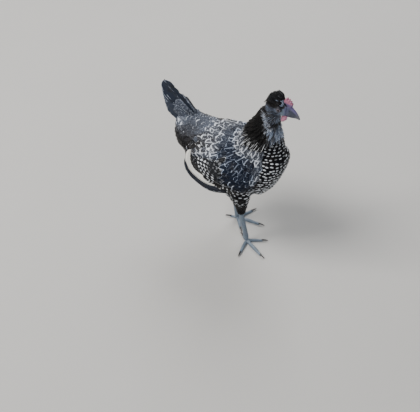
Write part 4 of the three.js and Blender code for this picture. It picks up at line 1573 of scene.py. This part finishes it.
leather, shade = new_paint("leg_skin")
place = shade.place()
plate = shade.held("plate")["Fac"]
tone = shade.mix(shade.noise(place, 130.0, 4.0), (0.10, 0.135, 0.185), (0.21, 0.27, 0.34))
tone = shade.tinge(tone, (0.34, 0.40, 0.46), shade.step(plate, 0.55, 1.0), 0.45)
tone = shade.tinge(tone, (0.05, 0.065, 0.09), shade.fall(plate, 0.0, 0.22))
shade.finish(tone, 0.42, shade.cells(place, 900.0), 0.00015)


def toe_ahead(side, turn, dip=0.0):
    """The way a toe points that is turned in from the middle one."""
    angle = math.radians(FEET[side][2] - SIDES[side] * turn)
    return np.array((math.cos(angle), math.sin(angle), -dip))


def bones_of(side):
    """The start, the end and the front of the shank, and then of each toe."""
    foot = np.array((*FEET[side][:2], FOOT_HEIGHT)) * MM
    hock = foot + np.array(HOCK_OFFSET) * (1, SIDES[side], 1) * MM
    yield hock, foot, np.array((1.0, 0.0, 0.18))
    for turn, length in TOES.values():
        yield foot, foot + toe_ahead(side, turn, TOE_DIP) * length * MM, np.array((0.0, 0.0, 1.0))


for side in SIDES:
    leg = fleshed(f"leg_{side}", [f"shank_{side}", f"toes_{side}"], 0.6 * MM, 5, 0.1 * MM)
    co = points_of(leg.data)
    out = unit(spread(normals_of(leg.data), neighbours_of(leg.data), 3))
    nearest = np.full(len(co), 1.0)
    rise, plate = np.zeros(len(co)), np.zeros(len(co))
    for number, (start, stop, front) in enumerate(bones_of(side)):
        shank = number == 0
        long = np.linalg.norm(stop - start)
        axis = (stop - start) / long
        along = np.clip((co - start) @ axis, 0.0, long)
        off = co - start - np.outer(along, axis)
        away = np.linalg.norm(off, axis=1)
        forward = unit(front - axis * (axis @ front))
        facing = unit(off) @ forward
        sidle = unit(off) @ np.cross(axis, forward)
        stagger = 0.5 * (sidle > 0.0) if shank else 0.0
        part = (along / (SHANK_PITCH if shank else TOE_PITCH) + stagger + 0.12 * facing) % 1.0
        lap = part ** 0.7 * (1.0 - ramp(part, 0.88, 1.0))
        seam = 1.0 - mound(sidle, 0.0, 0.10) if shank else 1.0
        ahead = ramp(facing, -0.1, 0.35)
        turned = np.arctan2(sidle, facing)
        small = np.abs(np.cos(along / SCALE_PITCH * np.pi) * np.cos(turned * 5.0)) ** 0.5
        height = ahead * lap * seam * PLATE_RISE + (1.0 - ahead) * small * SCALE_RISE
        scaled = ahead * lap * seam + (1.0 - ahead) * (0.3 + 0.4 * small)
        closer = away < nearest
        nearest = np.where(closer, away, nearest)
        rise = np.where(closer, height, rise)
        plate = np.where(closer, scaled, plate)
    move_points(leg.data, co + out * (rise * ramp(co[:, 2], *SOLE) * MM)[:, None])
    store(leg.data, "plate", plate)
    leg.data.materials.append(leather)
    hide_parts(f"shank_{side}", f"toes_{side}")
    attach(leg, "root")

# ---- Claws
# Blunt, curved horn, dark grey with a paler tip. Each is let into the end of a toe, thicker above
# than below, and bends down to the ground.

CLAW_RINGS, CLAW_SIDES = 22, 16
CLAW_CURL = 1.45

claw_paint, shade = new_paint("claw")
grain = shade.noise(shade.vector("MULTIPLY", shade.place(), (1.0, 1.0, 4.0)), 900.0)
tone = shade.mix(grain, (0.02, 0.02, 0.024), (0.06, 0.058, 0.062))
tone = shade.tinge(tone, (0.20, 0.18, 0.17), shade.step(shade.held("tip")["Fac"], 0.5, 1.0), 0.6)
shade.finish(tone, 0.3, grain, 0.00008, Coat_Weight=0.15)

for side in SIDES:
    for toe, (turn, _) in TOES.items():
        solid = points_of(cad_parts[f"claw_{toe}_{side}"].data)
        ahead = toe_ahead(side, turn)
        beside = np.array((-ahead[1], ahead[0], 0.0))
        reach = solid @ ahead
        start, stop = reach.min(), reach.max()
        low, high = solid[:, 2].min(), solid[:, 2].max()
        thick = 0.5 * (high - low)
        middle = beside * float((solid @ beside).mean())
        middle += (0.0, 0.0, 0.5 * (low + high) + 0.3 * MM)
        rings, tips = [], []
        for i in range(CLAW_RINGS):
            t = i / (CLAW_RINGS - 1)
            size = (thick - 0.1 * MM) * (1.0 - t) ** 0.62 + 0.12 * MM
            gone = (stop - start + 1.0 * MM) * math.sin(t * CLAW_CURL) / math.sin(CLAW_CURL)
            centre = ahead * (start - 1.2 * MM + gone) + middle
            centre[2] -= (thick - 0.25 * MM) * t ** 2.2
            ring = []
            for roll in angles(CLAW_SIDES):
                wide, tall = (0.78, 1.05) if math.sin(roll) > 0 else (0.9, 0.72)
                spot = centre + beside * size * wide * math.cos(roll)
                ring.append(spot + np.array((0.0, 0.0, size * math.sin(roll) * tall)))
            rings.append(ring)
            tips += [t] * CLAW_SIDES
        nail = swept(f"nail_{toe}_{side}", rings)
        store(nail.data, "tip", tips)
        nail.data.materials.append(claw_paint)
        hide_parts(f"claw_{toe}_{side}")
        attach(nail, "root")

# ---- Colours of the skin
# The hide takes on the colours of the feathers rooted in it, so that no gap between two vanes shows.
# Bare skin is left before and below the eye: mottled slate, light blue at the lores, and
# darkened round the eye by painted shade.

ROOTS_READ = 3
NAKED_FROM = (1.3 * MM, 2.6 * MM)
FACE_BACK, FACE_FOOT = (0.090, 0.096), (0.305, 0.311)
LORES_FRONT, LORES_LEVEL = (0.106, 0.111), (0.3325, 0.3375)
CERE_BACK, CERE_LEVEL = (0.1125, 0.1165), (0.305, 0.315)
BROW_LEVEL, BROW_BACK = (0.3365, 0.3395), (0.1, 0.104)

sown = KDTree(len(SOWN))
for number, (place, _) in enumerate(SOWN):
    sown.insert(place, number)
sown.balance()
tints, naked = [], []
for place in points_of(skin.data):
    found = sown.find_n(place, ROOTS_READ)
    tints.append(sum(SOWN[number][1] for _, number, _ in found) / ROOTS_READ)
    facial = ramp(place[0], *FACE_BACK) * ramp(place[2], *FACE_FOOT)
    naked.append(facial * ramp(found[0][2], *NAKED_FROM))
tints = np.array(tints)
store(skin.data, "tint", tints[:, 3:])
store(skin.data, "pale", tints[:, :2].max(axis=1))
store(skin.data, "socket_shade", socket_shade)
store(skin.data, "naked", naked)

hide_paint, shade = new_paint("hide")
place = shade.place()
x, y, z = shade.parts(place)
grey, blue, streak = shade.parts(shade.held("tint")["Vector"])
tone = shade.mix(grey, shade.mix(blue, BLACK_WEB, BLUE_WEB), shade.mix(blue, GREY_WEB, SLATE_WEB))
white = shade.step(shade.noise(place, 300.0, 2.0), 0.45, 0.65)
tone = shade.tinge(tone, FROST, white, shade.math("MAXIMUM", shade.held("pale")["Fac"], streak), 0.5)
blotch = shade.step(shade.noise(place, 260.0, 4.0, 0.6), 0.36, 0.64)
slate = shade.mix(blotch, (0.035, 0.045, 0.075), (0.17, 0.22, 0.31))
lores = shade.math("SUBTRACT", shade.step(x, *LORES_FRONT), shade.step(z, *LORES_LEVEL))
slate = shade.tinge(slate, (0.27, 0.36, 0.46), shade.math("MAXIMUM", lores, 0.0), 0.5)
tone = shade.mix(shade.held("naked")["Fac"], tone, slate)
cere = shade.times(shade.step(x, *CERE_BACK), shade.step(z, *CERE_LEVEL))
tone = shade.tinge(tone, (0.085, 0.09, 0.18), cere, 0.85)
above = shade.times(shade.step(z, *BROW_LEVEL), shade.step(x, *BROW_BACK))
above = shade.times(above, shade.math("SUBTRACT", 0.9, cere))
tone = shade.mix(shade.math("MAXIMUM", above, 0.0), tone, (0.012, 0.013, 0.02))
# Painted shade darkens the skin round each eye socket.
tone = shade.tinge(tone, (0.02, 0.02, 0.028), shade.step(shade.held("socket_shade")["Fac"], 0.1, 0.9), 0.92)
shade.finish(tone, 0.5, shade.cells(place, 1500.0), 0.00015)
skin.data.materials.append(hide_paint)
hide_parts(*FLESH)
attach(skin, "root")
